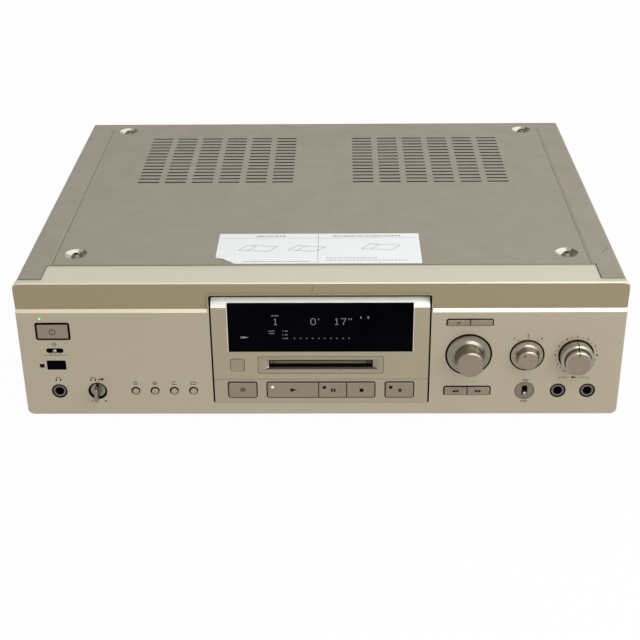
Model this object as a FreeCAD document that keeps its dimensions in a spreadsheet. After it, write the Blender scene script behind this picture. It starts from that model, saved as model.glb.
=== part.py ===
"""Slot-loading minidisc deck, full hi-fi width, as a parametric FreeCAD document.

Deck coordinates, used by every helper below: x from the deck's middle to the right, y back from
the face of the front panel, z up from the front panel's lower edge.  The model's own origin is
the middle of its bounding box, on the surface that the feet stand on.
"""
import FreeCAD, Part
import math
import operator
import os
import Sketcher

# Driving dimensions, in millimetres and degrees.
SIZES = {
    # case
    "case_width": 430.0,
    "case_height": 107.0,
    "case_depth": 330.0,
    "foot_height": 17.0,
    # front panel: a thick plate with a leaning strip above a bright ledge, and a flange on top
    "panel_thick": 6.0,
    "panel_corner": 4.5,
    "panel_edge": 0.8,
    "flange_thick": 1.5,
    "flange_reach": 28.5,
    "strip_edge": 1.0,
    "strip_height": 20.1,
    "strip_setback": 2.1,
    "ledge_height": 2.1,
    # centre opening of the front panel, and the rim around it
    "pod_width": 156.5,
    "pod_floor": 10.0,
    "pod_headroom": 9.9,
    "pod_rim": 1.0,
    "pod_gap": 1.2,
    "pod_head_gap": 3.8,
    "pod_corner": 1.5,
    "pod_bevel": 5.7,
    "seam_clear": 2.1,
    "seam_gap": 0.2,
    # display
    "window_side": 12.65,
    "window_rise": 4.1,
    "window_drop": 6.9,
    "window_thick": 2.5,
    "window_lip": 1.5,
    "window_recess": 0.3,
    "window_play": 0.1,
    "tube_thick": 6.2,
    "tube_margin": 4.0,
    # disc, its slot and the flap behind it
    "disc_width": 72.0,
    "disc_length": 68.0,
    "disc_thick": 5.0,
    "slot_play_side": 1.3,
    "slot_play_up": 0.45,
    "funnel_side": 4.2,
    "funnel_up": 1.0,
    "funnel_depth": 1.5,
    "bezel_side": 3.4,
    "bezel_above": 2.5,
    "bezel_below": 3.2,
    "bezel_rise": 5.0,
    "bezel_corner": 2.0,
    "bezel_play": 0.1,
    "flap_thick": 1.2,
    "flap_gap": 0.3,
    "flap_pin": 0.9,
    "flap_pin_reach": 2.0,
    "flap_rise": 1.3,
    "hinge_play": 0.06,
    "lug_thick": 3.0,
    # keys that are pushed
    "key_gap": 0.5,
    "key_reach": 0.8,
    "key_corner": 1.4,
    "key_edge": 0.35,
    "key_travel": 1.0,
    "key_flange_gap": 0.2,
    "key_flange": 1.2,
    "key_flange_lap": 0.9,
    "key_stem": 1.4,
    "stem_end": 9.5,
    "switch_gap": 0.2,
    "switch_side": 6.0,
    "switch_height": 4.3,
    "switch_button": 1.7,
    "transport_rise": 4.4,
    "transport_height": 13.1,
    "transport_side": 11.1,
    "transport_split": 7.1,
    "eject_width": 20.9,
    "pause_width": 20.2,
    "stop_width": 20.7,
    "record_width": 20.9,
    "light_radius": 1.1,
    "light_play": 0.25,
    "light_sink": 0.2,
    "light_inset": 4.2,
    "light_rise": 8.8,
    # outer columns of controls, measured from the panel's sides
    "edge_inset": 25.0,
    "mic_inset": 22.8,
    "mic_shift": 1.4,
    # the other columns, as shares of the way from the pod to the panel's side
    "first_key_column_share": 0.41058,
    "last_key_column_share": 0.10351,
    "jog_column_share": 0.19923,
    "input_column_share": 0.50279,
    "level_column_share": 0.75798,
    # rows, as shares of the way from the row of sockets up to the bright ledge
    "led_row_share": 0.928,
    "edit_row_share": 0.873,
    "power_row_share": 0.771,
    "timer_row_share": 0.5266,
    "jog_row_share": 0.4655,
    "dial_row_share": 0.4565,
    "remote_row_share": 0.34,
    # left field
    "power_width": 24.2,
    "power_height": 13.4,
    "power_gap": 1.2,
    "led_shift": 3.7,
    "led_radius": 1.15,
    "led_tip": 0.7,
    "led_flange": 1.85,
    "led_dome": 0.4,
    "timer_slot_width": 12.4,
    "timer_slot_height": 3.7,
    "timer_travel": 3.6,
    "lever_radius": 1.5,
    "lever_edge": 0.6,
    "lever_reach": 1.6,
    "lever_play": 0.4,
    "remote_width": 13.8,
    "remote_height": 7.6,
    "remote_corner": 0.8,
    "socket_level": 20.0,
    "socket_hole": 5.75,
    "socket_ring": 4.55,
    "socket_bore": 3.25,
    "socket_bore_length": 20.0,
    "socket_body": 7.4,
    "socket_end": 4.0,
    "ring_play": 0.1,
    "well_radius": 6.9,
    "well_wall": 0.5,
    "well_depth": 8.0,
    "well_floor": 1.0,
    "wing_disc": 5.3,
    "wing_width": 2.6,
    "wing_reach": 8.0,
    "wing_half": 5.2,
    "small_shaft": 2.0,
    "small_can": 11.0,
    "round_key_count": 4,
    "round_key_hole": 2.95,
    "round_key_radius": 2.4,
    # right field
    "jog_hole": 16.75,
    "jog_skirt": 15.4,
    "jog_radius": 9.6,
    "jog_face": 8.7,
    "jog_reach": 15.8,
    "jog_flare": 4.6,
    "jog_push": 0.8,
    "skirt_proud": 0.5,
    "skirt_thick": 3.0,
    "flare_steps": 3,
    "knob_edge": 0.9,
    "edit_height": 5.4,
    "edit_width": 32.7,
    "search_height": 7.4,
    "search_width": 33.6,
    "input_hole": 12.5,
    "input_skirt": 11.35,
    "input_radius": 7.5,
    "input_reach": 9.1,
    "input_flare": 3.0,
    "level_hole": 12.7,
    "level_ring_radius": 11.75,
    "level_ring_reach": 8.8,
    "level_bore": 9.75,
    "level_radius": 9.15,
    "level_reach": 13.4,
    "shaft_radius": 3.0,
    "sleeve_radius": 4.0,
    "shaft_play": 0.06,
    "nut_radius": 5.8,
    "bush_play": 0.3,
    "control_side": 17.0,
    "control_front": 8.2,
    "mic_plate_radius": 6.85,
    "mic_plate_play": 0.15,
    "mic_slot_width": 4.1,
    "mic_slot_height": 8.5,
    "mic_travel": 4.2,
    # structure behind the panel
    "sheet": 1.2,
    "frame_margin": 7.0,
    "frame_side_bar": 6.5,
    "frame_rail": 5.0,
    "frame_top_gap": 2.5,
    "frame_bar_inside": 8.75,
    "frame_bar_outside": 5.75,
    "frame_flange": 12.0,
    "board_front": 16.0,
    "board_thick": 1.6,
    "boss_radius": 2.5,
    "boss_inset": 15.0,
    "disc_way": 2.0,
    # cover
    "cover_sheet": 1.0,
    "cover_inset": 2.0,
    "cover_gap": 0.3,
    "cover_bend": 2.6,
    "cover_arm": 19.6,
    "cover_lift": 1.0,
    "crease_inset": 20.8,
    "crease_width": 2.6,
    "crease_depth": 0.55,
    "crease_end": 17.0,
    "dish_inset": 37.0,
    "dish_front": 47.0,
    "dish_back": 18.0,
    "dish_radius": 8.2,
    "dish_floor": 4.3,
    "dish_depth": 1.9,
    "screw_hole": 2.2,
    "screw_head": 3.8,
    "screw_crown": 2.3,
    "screw_rise": 1.9,
    "screw_socket": 1.7,
    "screw_socket_depth": 1.5,
    "screw_shank": 1.9,
    "screw_length": 8.0,
    "vent_inner": 24.6,
    "vent_length": 17.1,
    "vent_width": 2.3,
    "vent_pitch_across": 22.1,
    "vent_pitch_back": 7.43,
    "vent_back": 39.5,
    "vent_columns": 6,
    "vent_rows": 15,
    # underside
    "chassis_side": 14.0,
    "foot_radius": 22.0,
    "foot_top": 19.0,
    "foot_inset_side": 52.0,
    "foot_inset_front": 60.0,
    "foot_inset_back": 45.0,
    "floor_vents": 9,
    "floor_vent_pitch": 14.0,
    "floor_vent_width": 3.0,
    "floor_vent_length": 60.0,
    "pad_radius": 14.0,
    "pad_thick": 1.2,
    # rear
    "phono_reach": 9.0,
    "phono_radius": 4.15,
    "phono_hole": 1.65,
    "phono_hole_depth": 8.0,
    "phono_base": 5.6,
    "phono_pitch_up": 16.0,
    "phono_pitch_across": 22.0,
    "phono_inset": 150.0,
    "phono_level": 40.0,
    "socket_play": 0.2,
    "optical_width": 12.0,
    "optical_height": 11.0,
    "optical_reach": 2.5,
    "optical_pitch": 17.0,
    "optical_inset": 92.0,
    "inlet_width": 27.0,
    "inlet_height": 20.0,
    "inlet_wall": 1.8,
    "inlet_depth": 20.0,
    "inlet_lip": 1.8,
    "inlet_inset": 45.0,
    "inlet_level": 32.0,
    "blade_length": 10.0,
    "blade_width": 4.0,
    "blade_thick": 2.0,
    "blade_pitch": 7.0,
    # electronics inside
    "core_inset": 55.0,
    "core_front": 62.0,
    "core_width": 66.0,
    "core_height": 56.0,
    "core_thick": 30.0,
    "core_limb": 11.0,
    "core_coil": 9.0,
    "coil_round": 5.4,
    "board_start": 150.0,
    "board_clear": 8.0,
    "board_split": 62.0,
    "board_side": 10.0,
    "post_height": 8.0,
    "post_radius": 3.0,
    "can_count": 5,
    "can_inset": 13.5,
    "can_pitch": 21.6,
    "can_front": 18.0,
    "can_radius": 9.0,
    "can_height": 34.0,
    "chip_count": 5,
    "chip_first": 10.0,
    "chip_pitch": 34.0,
    "chip_side": 18.0,
    "chip_height": 2.6,
    "fin_count": 12,
    "fin_pitch": 7.0,
    "fin_length": 22.0,
    "fin_thick": 1.6,
    "fin_spine": 4.0,
    "sink_height": 52.0,
    "sink_back": 40.0,
    # disc drive
    "drive_gap": 2.0,
    "drive_side": 7.0,
    "drive_sheet": 1.2,
    "drive_wall": 4.0,
    "drive_depth": 16.0,
    "holder_gap": 1.5,
    "holder_front": 1.5,
    "holder_back": 1.5,
    "holder_play": 0.6,
    "holder_sheet": 0.8,
    "holder_drop": 0.3,
    "holder_lip": 8.0,
    "holder_travel": 4.0,
    "stop_inner": 22.0,
    "head_window_half": 17.0,
    "pin_radius": 1.5,
    "pin_play": 0.3,
    "pin_rise": 3.0,
    "pin_inset": 10.0,
    "spindle_radius": 1.0,
    "motor_radius": 9.0,
    "table_radius": 8.0,
    "table_thick": 1.2,
    "table_rise": 3.2,
    "hub_radius": 5.5,
    "hub_entry": 1.9,
    "rod_radius": 1.5,
    "rod_half_pitch": 21.0,
    "rod_rise": 4.2,
    "bearing_half": 3.0,
    "bearing_thick": 3.0,
    "screw_offset": 8.0,
    "screw_radius": 1.5,
    "follower_length": 6.0,
    "follower_thick": 1.6,
    "follower_gap": 0.3,
    "sled_clear": 1.5,
    "sled_length": 18.0,
    "sled_rise": 2.8,
    "sled_travel": 16.0,
    "sled_motor_radius": 4.0,
    "sled_motor_length": 16.0,
    "lens_radius": 3.0,
    "lens_rise": 1.2,
    "post_half": 8.0,
    "cheek": 2.0,
    "arm_clear": 2.0,
    "arm_post": 5.0,
    "arm_barrel": 2.0,
    "arm_rise": 11.0,
    "head_half": 3.0,
    "head_drop": 3.0,
    "mount_inset": 8.0,
    "mount_radius": 4.0,
}


class Size:
    """A length that carries its number and its formula in the sheet of sizes."""

    def __init__(self, number, formula):
        self.number = float(number)
        self.formula = formula

    def joined(self, other, sign, work, swap=False):
        other = as_size(other)
        left, right = (other, self) if swap else (self, other)
        return Size(work(left.number, right.number), f"({left.formula} {sign} {right.formula})")

    def __add__(self, other):
        return self.joined(other, "+", operator.add)

    def __radd__(self, other):
        return self.joined(other, "+", operator.add, swap=True)

    def __sub__(self, other):
        return self.joined(other, "-", operator.sub)

    def __rsub__(self, other):
        return self.joined(other, "-", operator.sub, swap=True)

    def __mul__(self, other):
        return self.joined(other, "*", operator.mul)

    def __rmul__(self, other):
        return self.joined(other, "*", operator.mul, swap=True)

    def __truediv__(self, other):
        return self.joined(other, "/", operator.truediv)

    def __neg__(self):
        return Size(-self.number, f"(-1 * {self.formula})")


def as_size(value):
    """A plain number as a Size, so that both can be used everywhere."""
    return value if isinstance(value, Size) else Size(value, f"({float(value):.6f})")


class SizeSheet:
    """The document's spreadsheet, which hands out each cell as a Size."""

    def __init__(self, document, values):
        sheet = document.addObject("Spreadsheet::Sheet", "Sizes")
        for row, (name, value) in enumerate(values.items(), start=1):
            sheet.set(f"A{row}", name)
            sheet.set(f"B{row}", str(value))
            sheet.setAlias(f"B{row}", name)
            setattr(self, name, Size(value, f"Sizes.{name}"))


doc = FreeCAD.newDocument("MinidiscDeck")
dim = SizeSheet(doc, SIZES)
doc.recompute()

# Filled while the deck is built.
sub_parts = []
switch_places = []
slide_switches = []
controls = []
motors = []

# Places that many sub-parts share.
right_side = dim.case_width / 2
left_side = -right_side
front = dim.jog_reach - (dim.case_depth + dim.jog_reach + dim.phono_reach) / 2
base = dim.foot_height


# ---------------------------------------------------------------- helpers

def bind(thing, path, size):
    """Set a property of a thing from a Size, by its formula."""
    thing.setExpression(path, as_size(size).formula)


def place(thing, x, y, z):
    """Move a thing's origin to a point in deck coordinates."""
    bind(thing, "Placement.Base.x", x)
    bind(thing, "Placement.Base.y", front + y)
    bind(thing, "Placement.Base.z", base + z)


def keep(thing, label):
    """Name a finished sub-part and list it for export."""
    thing.Label = label
    sub_parts.append(thing)
    return thing


class Piece:
    """A PartDesign body, sketched on the planes through its own origin."""

    PLANES = {"front": "XZ_Plane", "side": "YZ_Plane", "floor": "XY_Plane"}

    def __init__(self, label, x=0, y=0, z=0, kept=True):
        self.body = doc.addObject("PartDesign::Body", label)
        place(self.body, x, y, z)
        if kept:
            keep(self.body, label)

    def plane(self, role):
        return next(item for item in self.body.Origin.OriginFeatures if item.Role == role)

    def sketch(self, view, offset=0):
        """A sketch seen from the front, side or above, moved back, right or up by the offset."""
        drawing = self.body.newObject("Sketcher::SketchObject", "Outline")
        drawing.AttachmentSupport = [(self.plane(self.PLANES[view]), "")]
        drawing.MapMode = "FlatFace"
        along_normal = -as_size(offset) if view == "front" else offset
        bind(drawing, "AttachmentOffset.Base.z", along_normal)
        return drawing

    def feature(self, kind, **settings):
        item = self.body.newObject(f"PartDesign::{kind}", kind)
        for name, value in settings.items():
            setattr(item, name, value)
        return item

    def pad(self, drawing, length, reverse=None):
        """Add the outline's solid: back from a front sketch, right from a side one, else up."""
        if reverse is None:
            reverse = drawing.AttachmentSupport[0][0].Role == "XZ_Plane"
        item = self.feature("Pad", Profile=drawing, Reversed=reverse)
        bind(item, "Length", length)
        return item

    def pocket(self, drawing, depth=None, reverse=False, midplane=False):
        """Cut the outline: back from a front sketch, left from a side one, else down."""
        item = self.feature("Pocket", Profile=drawing, Reversed=reverse)
        if midplane:
            item.Midplane = True
        if depth is None:
            item.Type = "ThroughAll"
        else:
            bind(item, "Length", depth)
        return item

    def turn(self, drawing, axis, kind="Revolution"):
        """Turn an outline about its own horizontal (H_Axis) or vertical (V_Axis) axis."""
        return self.feature(kind, Profile=drawing, ReferenceAxis=(drawing, [axis]))

    def edges(self, item, test):
        doc.recompute()
        found = enumerate(item.Shape.Edges, start=1)
        return [f"Edge{number}" for number, edge in found if test(edge)]

    def soften(self, kind, item, test, size):
        """A Fillet or Chamfer on the edges of a feature that pass a test."""
        names = self.edges(item, test)
        finish = self.feature(kind, Base=(item, names))
        bind(finish, "Radius" if kind == "Fillet" else "Size", size)
        return finish


def on_level(axis, level):
    """Test for edges whose ends and middle all lie at one level of an axis."""
    target = as_size(level).number

    def test(edge):
        points = [edge.valueAt(p) for p in (edge.FirstParameter, edge.LastParameter)]
        points.append(edge.valueAt((edge.FirstParameter + edge.LastParameter) / 2))
        return all(abs(getattr(point, axis) - target) < 1e-4 for point in points)

    return test


def outline(drawing, corners):
    """A closed outline of straight lines through corners given as (across, up)."""
    corners = [(as_size(across), as_size(up)) for across, up in corners]
    points = [FreeCAD.Vector(across.number, up.number, 0) for across, up in corners]
    ahead = points[1:] + points[:1]
    lines = [drawing.addGeometry(Part.LineSegment(a, b), False) for a, b in zip(points, ahead)]
    for line, following in zip(lines, lines[1:] + lines[:1]):
        drawing.addConstraint(Sketcher.Constraint("Coincident", line, 2, following, 1))
    for line, (across, up) in zip(lines, corners):
        fix_point(drawing, line, 1, across, up)


def fix_point(drawing, geometry, point, across, up):
    """Hold a point of a sketch at its distances from the sketch's origin."""
    for kind, size in (("DistanceX", across), ("DistanceY", up)):
        size = as_size(size)
        number = drawing.addConstraint(
            Sketcher.Constraint(kind, -1, 1, geometry, point, size.number))
        drawing.setExpression(f"Constraints[{number}]", size.formula)


def box_outline(drawing, left, right, bottom, top):
    outline(drawing, [(left, bottom), (right, bottom), (right, top), (left, top)])


def circle(drawing, across, up, radius):
    radius = as_size(radius)
    across = as_size(across)
    up = as_size(up)
    middle = FreeCAD.Vector(across.number, up.number, 0)
    normal = FreeCAD.Vector(0, 0, 1)
    ring = drawing.addGeometry(Part.Circle(middle, normal, radius.number), False)
    number = drawing.addConstraint(Sketcher.Constraint("Radius", ring, radius.number))
    drawing.setExpression(f"Constraints[{number}]", radius.formula)
    fix_point(drawing, ring, 3, across, up)


def round_box(drawing, left, right, bottom, top, radius):
    """A rectangle with four equal round corners."""
    left, right, bottom, top, radius = map(as_size, (left, right, bottom, top, radius))
    corners = [
        (right - radius, bottom + radius, -0.5 * math.pi),
        (right - radius, top - radius, 0.0),
        (left + radius, top - radius, 0.5 * math.pi),
        (left + radius, bottom + radius, math.pi),
    ]
    arcs = []
    for across, up, start in corners:
        middle = FreeCAD.Vector(across.number, up.number, 0)
        ring = Part.Circle(middle, FreeCAD.Vector(0, 0, 1), radius.number)
        arcs.append(drawing.addGeometry(Part.ArcOfCircle(ring, start, start + math.pi / 2), False))
    for arc, following in zip(arcs, arcs[1:] + arcs[:1]):
        begin = drawing.getPoint(arc, 2)
        end = drawing.getPoint(following, 1)
        line = drawing.addGeometry(Part.LineSegment(begin, end), False)
        drawing.addConstraint(Sketcher.Constraint("Tangent", arc, 2, line, 1))
        drawing.addConstraint(Sketcher.Constraint("Tangent", line, 2, following, 1))
    for arc, (across, up, _) in zip(arcs, corners):
        fix_point(drawing, arc, 3, across, up)
    number = drawing.addConstraint(Sketcher.Constraint("Radius", arcs[0], radius.number))
    drawing.setExpression(f"Constraints[{number}]", radius.formula)
    for arc in arcs[1:]:
        drawing.addConstraint(Sketcher.Constraint("Equal", arcs[0], arc))


def hexagon(drawing, across, up, radius):
    """A hexagon about a point, by the radius of its corners."""
    outline(drawing, [(across + radius * math.cos(math.pi * n / 3),
                       up + radius * math.sin(math.pi * n / 3)) for n in range(6)])


def block(left, right, near, far, low, high):
    """A Part box between two x, two y and two z levels of the deck."""
    item = doc.addObject("Part::Box", "Block")
    bind(item, "Length", right - left)
    bind(item, "Width", far - near)
    bind(item, "Height", high - low)
    place(item, left, near, low)
    return item


def rod(x, y, z, radius, length, along="y", sides=None):
    """A Part cylinder from a point of the deck, along an axis, or a prism with so many sides."""
    if sides is None:
        item = doc.addObject("Part::Cylinder", "Rod")
        bind(item, "Radius", radius)
    else:
        item = doc.addObject("Part::Prism", "Prism")
        item.Polygon = sides
        bind(item, "Circumradius", radius)
    bind(item, "Height", length)
    place(item, x, y, z)
    turns = {"x": FreeCAD.Vector(0, 1, 0), "y": FreeCAD.Vector(-1, 0, 0)}
    if along in turns:
        item.Placement.Rotation = FreeCAD.Rotation(turns[along], 90)
    return item


def joined(items):
    item = doc.addObject("Part::MultiFuse", "Joined")
    item.Shapes = items
    return item


def cut(item, tools):
    result = doc.addObject("Part::Cut", "Cut")
    result.Base = item
    result.Tool = joined(tools) if len(tools) > 1 else tools[0]
    return result


def group(items):
    """Like pieces that share one node, as separate solids."""
    item = doc.addObject("Part::Compound", "Group")
    item.Links = items
    return item


def turned(label, axis, x, y, z, profile, kept=True):
    """A turned piece, from a profile of (along the axis, radius) corners."""
    piece = Piece(label, x, y, z, kept)
    if axis == "z":
        drawing = piece.sketch("front")
        outline(drawing, [(radius, along) for along, radius in profile])
        piece.turn(drawing, "V_Axis")
    else:
        drawing = piece.sketch({"y": "side", "x": "floor"}[axis])
        outline(drawing, profile)
        piece.turn(drawing, "H_Axis")
    return piece


# ---------------------------------------------------------------- shared lines of the front

half_width = dim.case_width / 2
strip_top = dim.case_height - dim.strip_edge
strip_foot = strip_top - dim.strip_height
ledge_foot = strip_foot - dim.ledge_height
pod_half = dim.pod_width / 2
pod_top = dim.case_height - dim.pod_headroom
transport_foot = dim.pod_floor + dim.transport_rise
transport_top = transport_foot + dim.transport_height
seam_level = transport_top + dim.seam_clear
bezel_foot = seam_level + dim.bezel_rise
mouth_foot = bezel_foot + dim.bezel_below
slot_foot = mouth_foot + dim.funnel_up
slot_top = slot_foot + dim.disc_thick + dim.slot_play_up * 2
mouth_top = slot_top + dim.funnel_up
bezel_top = mouth_top + dim.bezel_above
window_foot = bezel_top + dim.window_rise
window_top = pod_top - dim.window_drop
window_half = pod_half - dim.window_side
slot_half = dim.disc_width / 2 + dim.slot_play_side
mouth_half = slot_half + dim.funnel_side
bezel_half = mouth_half + dim.bezel_side
frame_near = dim.panel_thick
frame_far = frame_near + dim.sheet
switch_front = dim.stem_end + dim.key_travel + dim.switch_gap
board_back = dim.board_front + dim.board_thick
arm_front = dim.panel_thick + dim.cover_gap
cover_half = half_width - dim.cover_inset
cover_top = dim.case_height + dim.cover_lift
cover_under = cover_top - dim.cover_sheet
arm_half = half_width - dim.cover_arm


def column(share):
    """How far across a column of the two fields stands, by its share of the way to the side."""
    return pod_half + (half_width - pod_half) * share


def row(share):
    """A row's level, by its share of the way from the sockets up to the bright ledge."""
    return dim.socket_level + (ledge_foot - dim.socket_level) * share


edge_x = left_side + dim.edge_inset
first_key_x = -column(dim.first_key_column_share)
last_key_x = -column(dim.last_key_column_share)
round_key_steps = SIZES["round_key_count"] - 1
round_key_places = [first_key_x + (last_key_x - first_key_x) * n / round_key_steps
                    for n in range(round_key_steps + 1)]
well_x = (edge_x + first_key_x) / 2
jog_x = column(dim.jog_column_share)
input_x = column(dim.input_column_share)
level_x = column(dim.level_column_share)
mic_right_x = right_side - dim.mic_inset
mic_left_x = (input_x + mic_right_x) / 2 + dim.mic_shift
timer_level = row(dim.timer_row_share)
remote_level = row(dim.remote_row_share)
jog_level = row(dim.jog_row_share)
dial_level = row(dim.dial_row_share)


class Opening:
    """An opening of the front panel, by its edges."""

    def __init__(self, left, width, foot, height):
        self.left = left
        self.right = left + width
        self.foot = foot
        self.top = foot + height

    def split(self, *widths):
        """The openings of keys that stand side by side in this one."""
        keys = []
        edge = self.left
        for width in widths:
            keys.append(Opening(edge, width, self.foot, self.top - self.foot))
            edge = edge + width
        return keys


power_opening = Opening(edge_x - dim.power_width / 2, dim.power_width,
                        row(dim.power_row_share) - dim.power_height / 2, dim.power_height)
edit_opening = Opening(jog_x - dim.edit_width / 2, dim.edit_width,
                       row(dim.edit_row_share) - dim.edit_height / 2, dim.edit_height)
search_opening = Opening(jog_x - dim.search_width / 2, dim.search_width,
                         dim.socket_level - dim.search_height / 2, dim.search_height)
transport_half = pod_half - dim.transport_side
eject_opening = Opening(-transport_half, dim.eject_width, transport_foot, dim.transport_height)
record_opening = Opening(transport_half - dim.record_width, dim.record_width, transport_foot,
                         dim.transport_height)
play_left = eject_opening.right + dim.transport_split
stop_right = record_opening.left - dim.transport_split
play_opening = Opening(play_left, stop_right - play_left, transport_foot, dim.transport_height)
transport_keys = play_opening.split(stop_right - play_left - dim.pause_width - dim.stop_width,
                                    dim.pause_width, dim.stop_width)
lit_keys = [transport_keys[0], transport_keys[1], record_opening]
led_x = power_opening.left + dim.led_shift
led_level = row(dim.led_row_share)


# ---------------------------------------------------------------- casing

def front_panel():
    piece = Piece("front_panel")
    face = piece.sketch("front")
    round_box(face, left_side, right_side, 0, dim.case_height, dim.panel_corner)
    plate = piece.pad(face, dim.panel_thick)
    piece.soften("Chamfer", plate, on_level("y", 0), dim.panel_edge)
    flange = piece.sketch("front", dim.panel_thick / 2)
    box_outline(flange, -arm_half, arm_half, dim.case_height - dim.flange_thick, dim.case_height)
    piece.pad(flange, dim.flange_reach - dim.panel_thick / 2)
    # The strip leans back between its top edge and the ledge, and stays whole round the pod.
    rim_half = pod_half + dim.pod_rim
    rim_top = pod_top + dim.pod_rim
    rim_lean = dim.strip_setback * (strip_top - rim_top) / dim.strip_height
    wedge = [(-dim.panel_edge, ledge_foot), (0, ledge_foot), (dim.strip_setback, strip_foot),
             (0, strip_top), (-dim.panel_edge, strip_top)]
    for edge, to_right in ((rim_half, True), (-rim_half, False)):
        side = piece.sketch("side", edge)
        outline(side, wedge)
        piece.pocket(side, half_width, reverse=to_right)
    middle = piece.sketch("side")
    outline(middle, [(-dim.panel_edge, rim_top), (rim_lean, rim_top), (0, strip_top),
                     (-dim.panel_edge, strip_top)])
    piece.pocket(middle, rim_half * 2, midplane=True)
    holes = piece.sketch("front")
    round_box(holes, -pod_half, pod_half, dim.pod_floor, pod_top, dim.pod_corner)
    box_outline(holes, power_opening.left, power_opening.right, power_opening.foot, power_opening.top)
    for opening in (edit_opening, search_opening):
        round_box(holes, opening.left, opening.right, opening.foot, opening.top, dim.key_corner)
    round_box(holes, edge_x - dim.timer_slot_width / 2, edge_x + dim.timer_slot_width / 2,
              timer_level - dim.timer_slot_height / 2, timer_level + dim.timer_slot_height / 2,
              dim.timer_slot_height / 2 - dim.light_sink)
    round_box(holes, edge_x - dim.remote_width / 2, edge_x + dim.remote_width / 2,
              remote_level - dim.remote_height / 2, remote_level + dim.remote_height / 2,
              dim.remote_corner)
    circle(holes, led_x, led_level, dim.led_radius + dim.light_sink)
    circle(holes, well_x, dim.socket_level, dim.well_radius)
    for x in round_key_places:
        circle(holes, x, dim.socket_level, dim.round_key_hole)
    for x in (edge_x, mic_left_x, mic_right_x):
        circle(holes, x, dim.socket_level, dim.socket_hole)
    circle(holes, jog_x, jog_level, dim.jog_hole)
    circle(holes, input_x, dial_level, dim.input_hole)
    circle(holes, level_x, dial_level, dim.level_hole)
    circle(holes, input_x, dim.socket_level, dim.mic_plate_radius + dim.mic_plate_play)
    piece.pocket(holes)


def display_bezel():
    """Upper part of the pod: a bevelled top, and the seats of the window and the slot's frame."""
    piece = Piece("display_bezel")
    half = pod_half - dim.pod_gap
    face = piece.sketch("front")
    top = pod_top - dim.pod_head_gap
    box_outline(face, -half, half, seam_level + dim.seam_gap, top)
    plate = piece.pad(face, dim.panel_thick)

    def top_front(edge):
        return on_level("y", 0)(edge) and on_level("z", top)(edge)

    piece.soften("Chamfer", plate, top_front, dim.pod_bevel)
    seats = piece.sketch("front")
    box_outline(seats, -window_half, window_half, window_foot, window_top)
    piece.pocket(seats, dim.window_recess + dim.window_thick)
    through = piece.sketch("front")
    box_outline(through, dim.window_lip - window_half, window_half - dim.window_lip,
                window_foot + dim.window_lip, window_top - dim.window_lip)
    round_box(through, -bezel_half, bezel_half, bezel_foot, bezel_top, dim.bezel_corner)
    piece.pocket(through)


def transport_panel():
    piece = Piece("transport_panel")
    half = pod_half - dim.pod_gap
    face = piece.sketch("front")
    box_outline(face, -half, half, dim.pod_floor + dim.seam_gap, seam_level)
    piece.pad(face, dim.panel_thick)
    holes = piece.sketch("front")
    for opening in (eject_opening, play_opening, record_opening):
        round_box(holes, opening.left, opening.right, opening.foot, opening.top, dim.key_corner)
    piece.pocket(holes)


def display_window():
    piece = Piece("display_window")
    pane = piece.sketch("front", dim.window_recess)
    half = window_half - dim.window_play
    box_outline(pane, -half, half, window_foot + dim.window_play, window_top - dim.window_play)
    piece.pad(pane, dim.window_thick)


def slot_bezel():
    """Frame round the disc's way in: a funnel, a straight throat and two lugs for the flap."""
    piece = Piece("slot_bezel")
    frame = piece.sketch("front")
    play = dim.bezel_play
    round_box(frame, play - bezel_half, bezel_half - play, bezel_foot + play, bezel_top - play,
              dim.bezel_corner)
    piece.pad(frame, dim.panel_thick)
    lugs = piece.sketch("front", dim.panel_thick / 2)
    lug_inner = slot_half + dim.flap_gap
    for edge in (-lug_inner - dim.lug_thick, lug_inner):
        box_outline(lugs, edge, edge + dim.lug_thick, flap_axis_z - dim.lug_thick / 2,
                    bezel_top - play)
    piece.pad(lugs, dim.panel_thick / 2 + flap_axis_y - dim.panel_thick + dim.lug_thick / 2)
    mouth = piece.sketch("front")
    box_outline(mouth, -mouth_half, mouth_half, mouth_foot, mouth_top)
    throat = piece.sketch("front", dim.funnel_depth)
    box_outline(throat, -slot_half, slot_half, slot_foot, slot_top)
    funnel = piece.feature("SubtractiveLoft", Profile=mouth, Ruled=True)
    funnel.Sections = [throat]
    way = piece.sketch("front")
    box_outline(way, -slot_half, slot_half, slot_foot, slot_top)
    piece.pocket(way, dim.panel_thick)
    eyes = piece.sketch("side", -lug_inner - dim.lug_thick * 2)
    circle(eyes, flap_axis_y, flap_axis_z, dim.flap_pin + dim.hinge_play)
    piece.pocket(eyes, lug_inner * 4, reverse=True)


flap_axis_y = dim.panel_thick + dim.key_flange_gap + dim.flap_pin
flap_axis_z = slot_top + dim.flap_rise


def slot_flap():
    """Sprung flap: it hangs from two pins behind the throat and is pushed in by the disc."""
    piece = Piece("slot_flap", 0, flap_axis_y, flap_axis_z)
    half = slot_half
    leaf = piece.sketch("front", -dim.flap_thick / 2)
    box_outline(leaf, -half, half, slot_foot + dim.flap_gap - flap_axis_z, 0)
    piece.pad(leaf, dim.flap_thick)
    barrel = piece.sketch("side", -half)
    circle(barrel, 0, 0, dim.flap_pin)
    piece.pad(barrel, half * 2)
    pins = piece.sketch("side", -half - dim.flap_pin_reach)
    circle(pins, 0, 0, dim.flap_pin)
    piece.pad(pins, (half + dim.flap_pin_reach) * 2)


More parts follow.
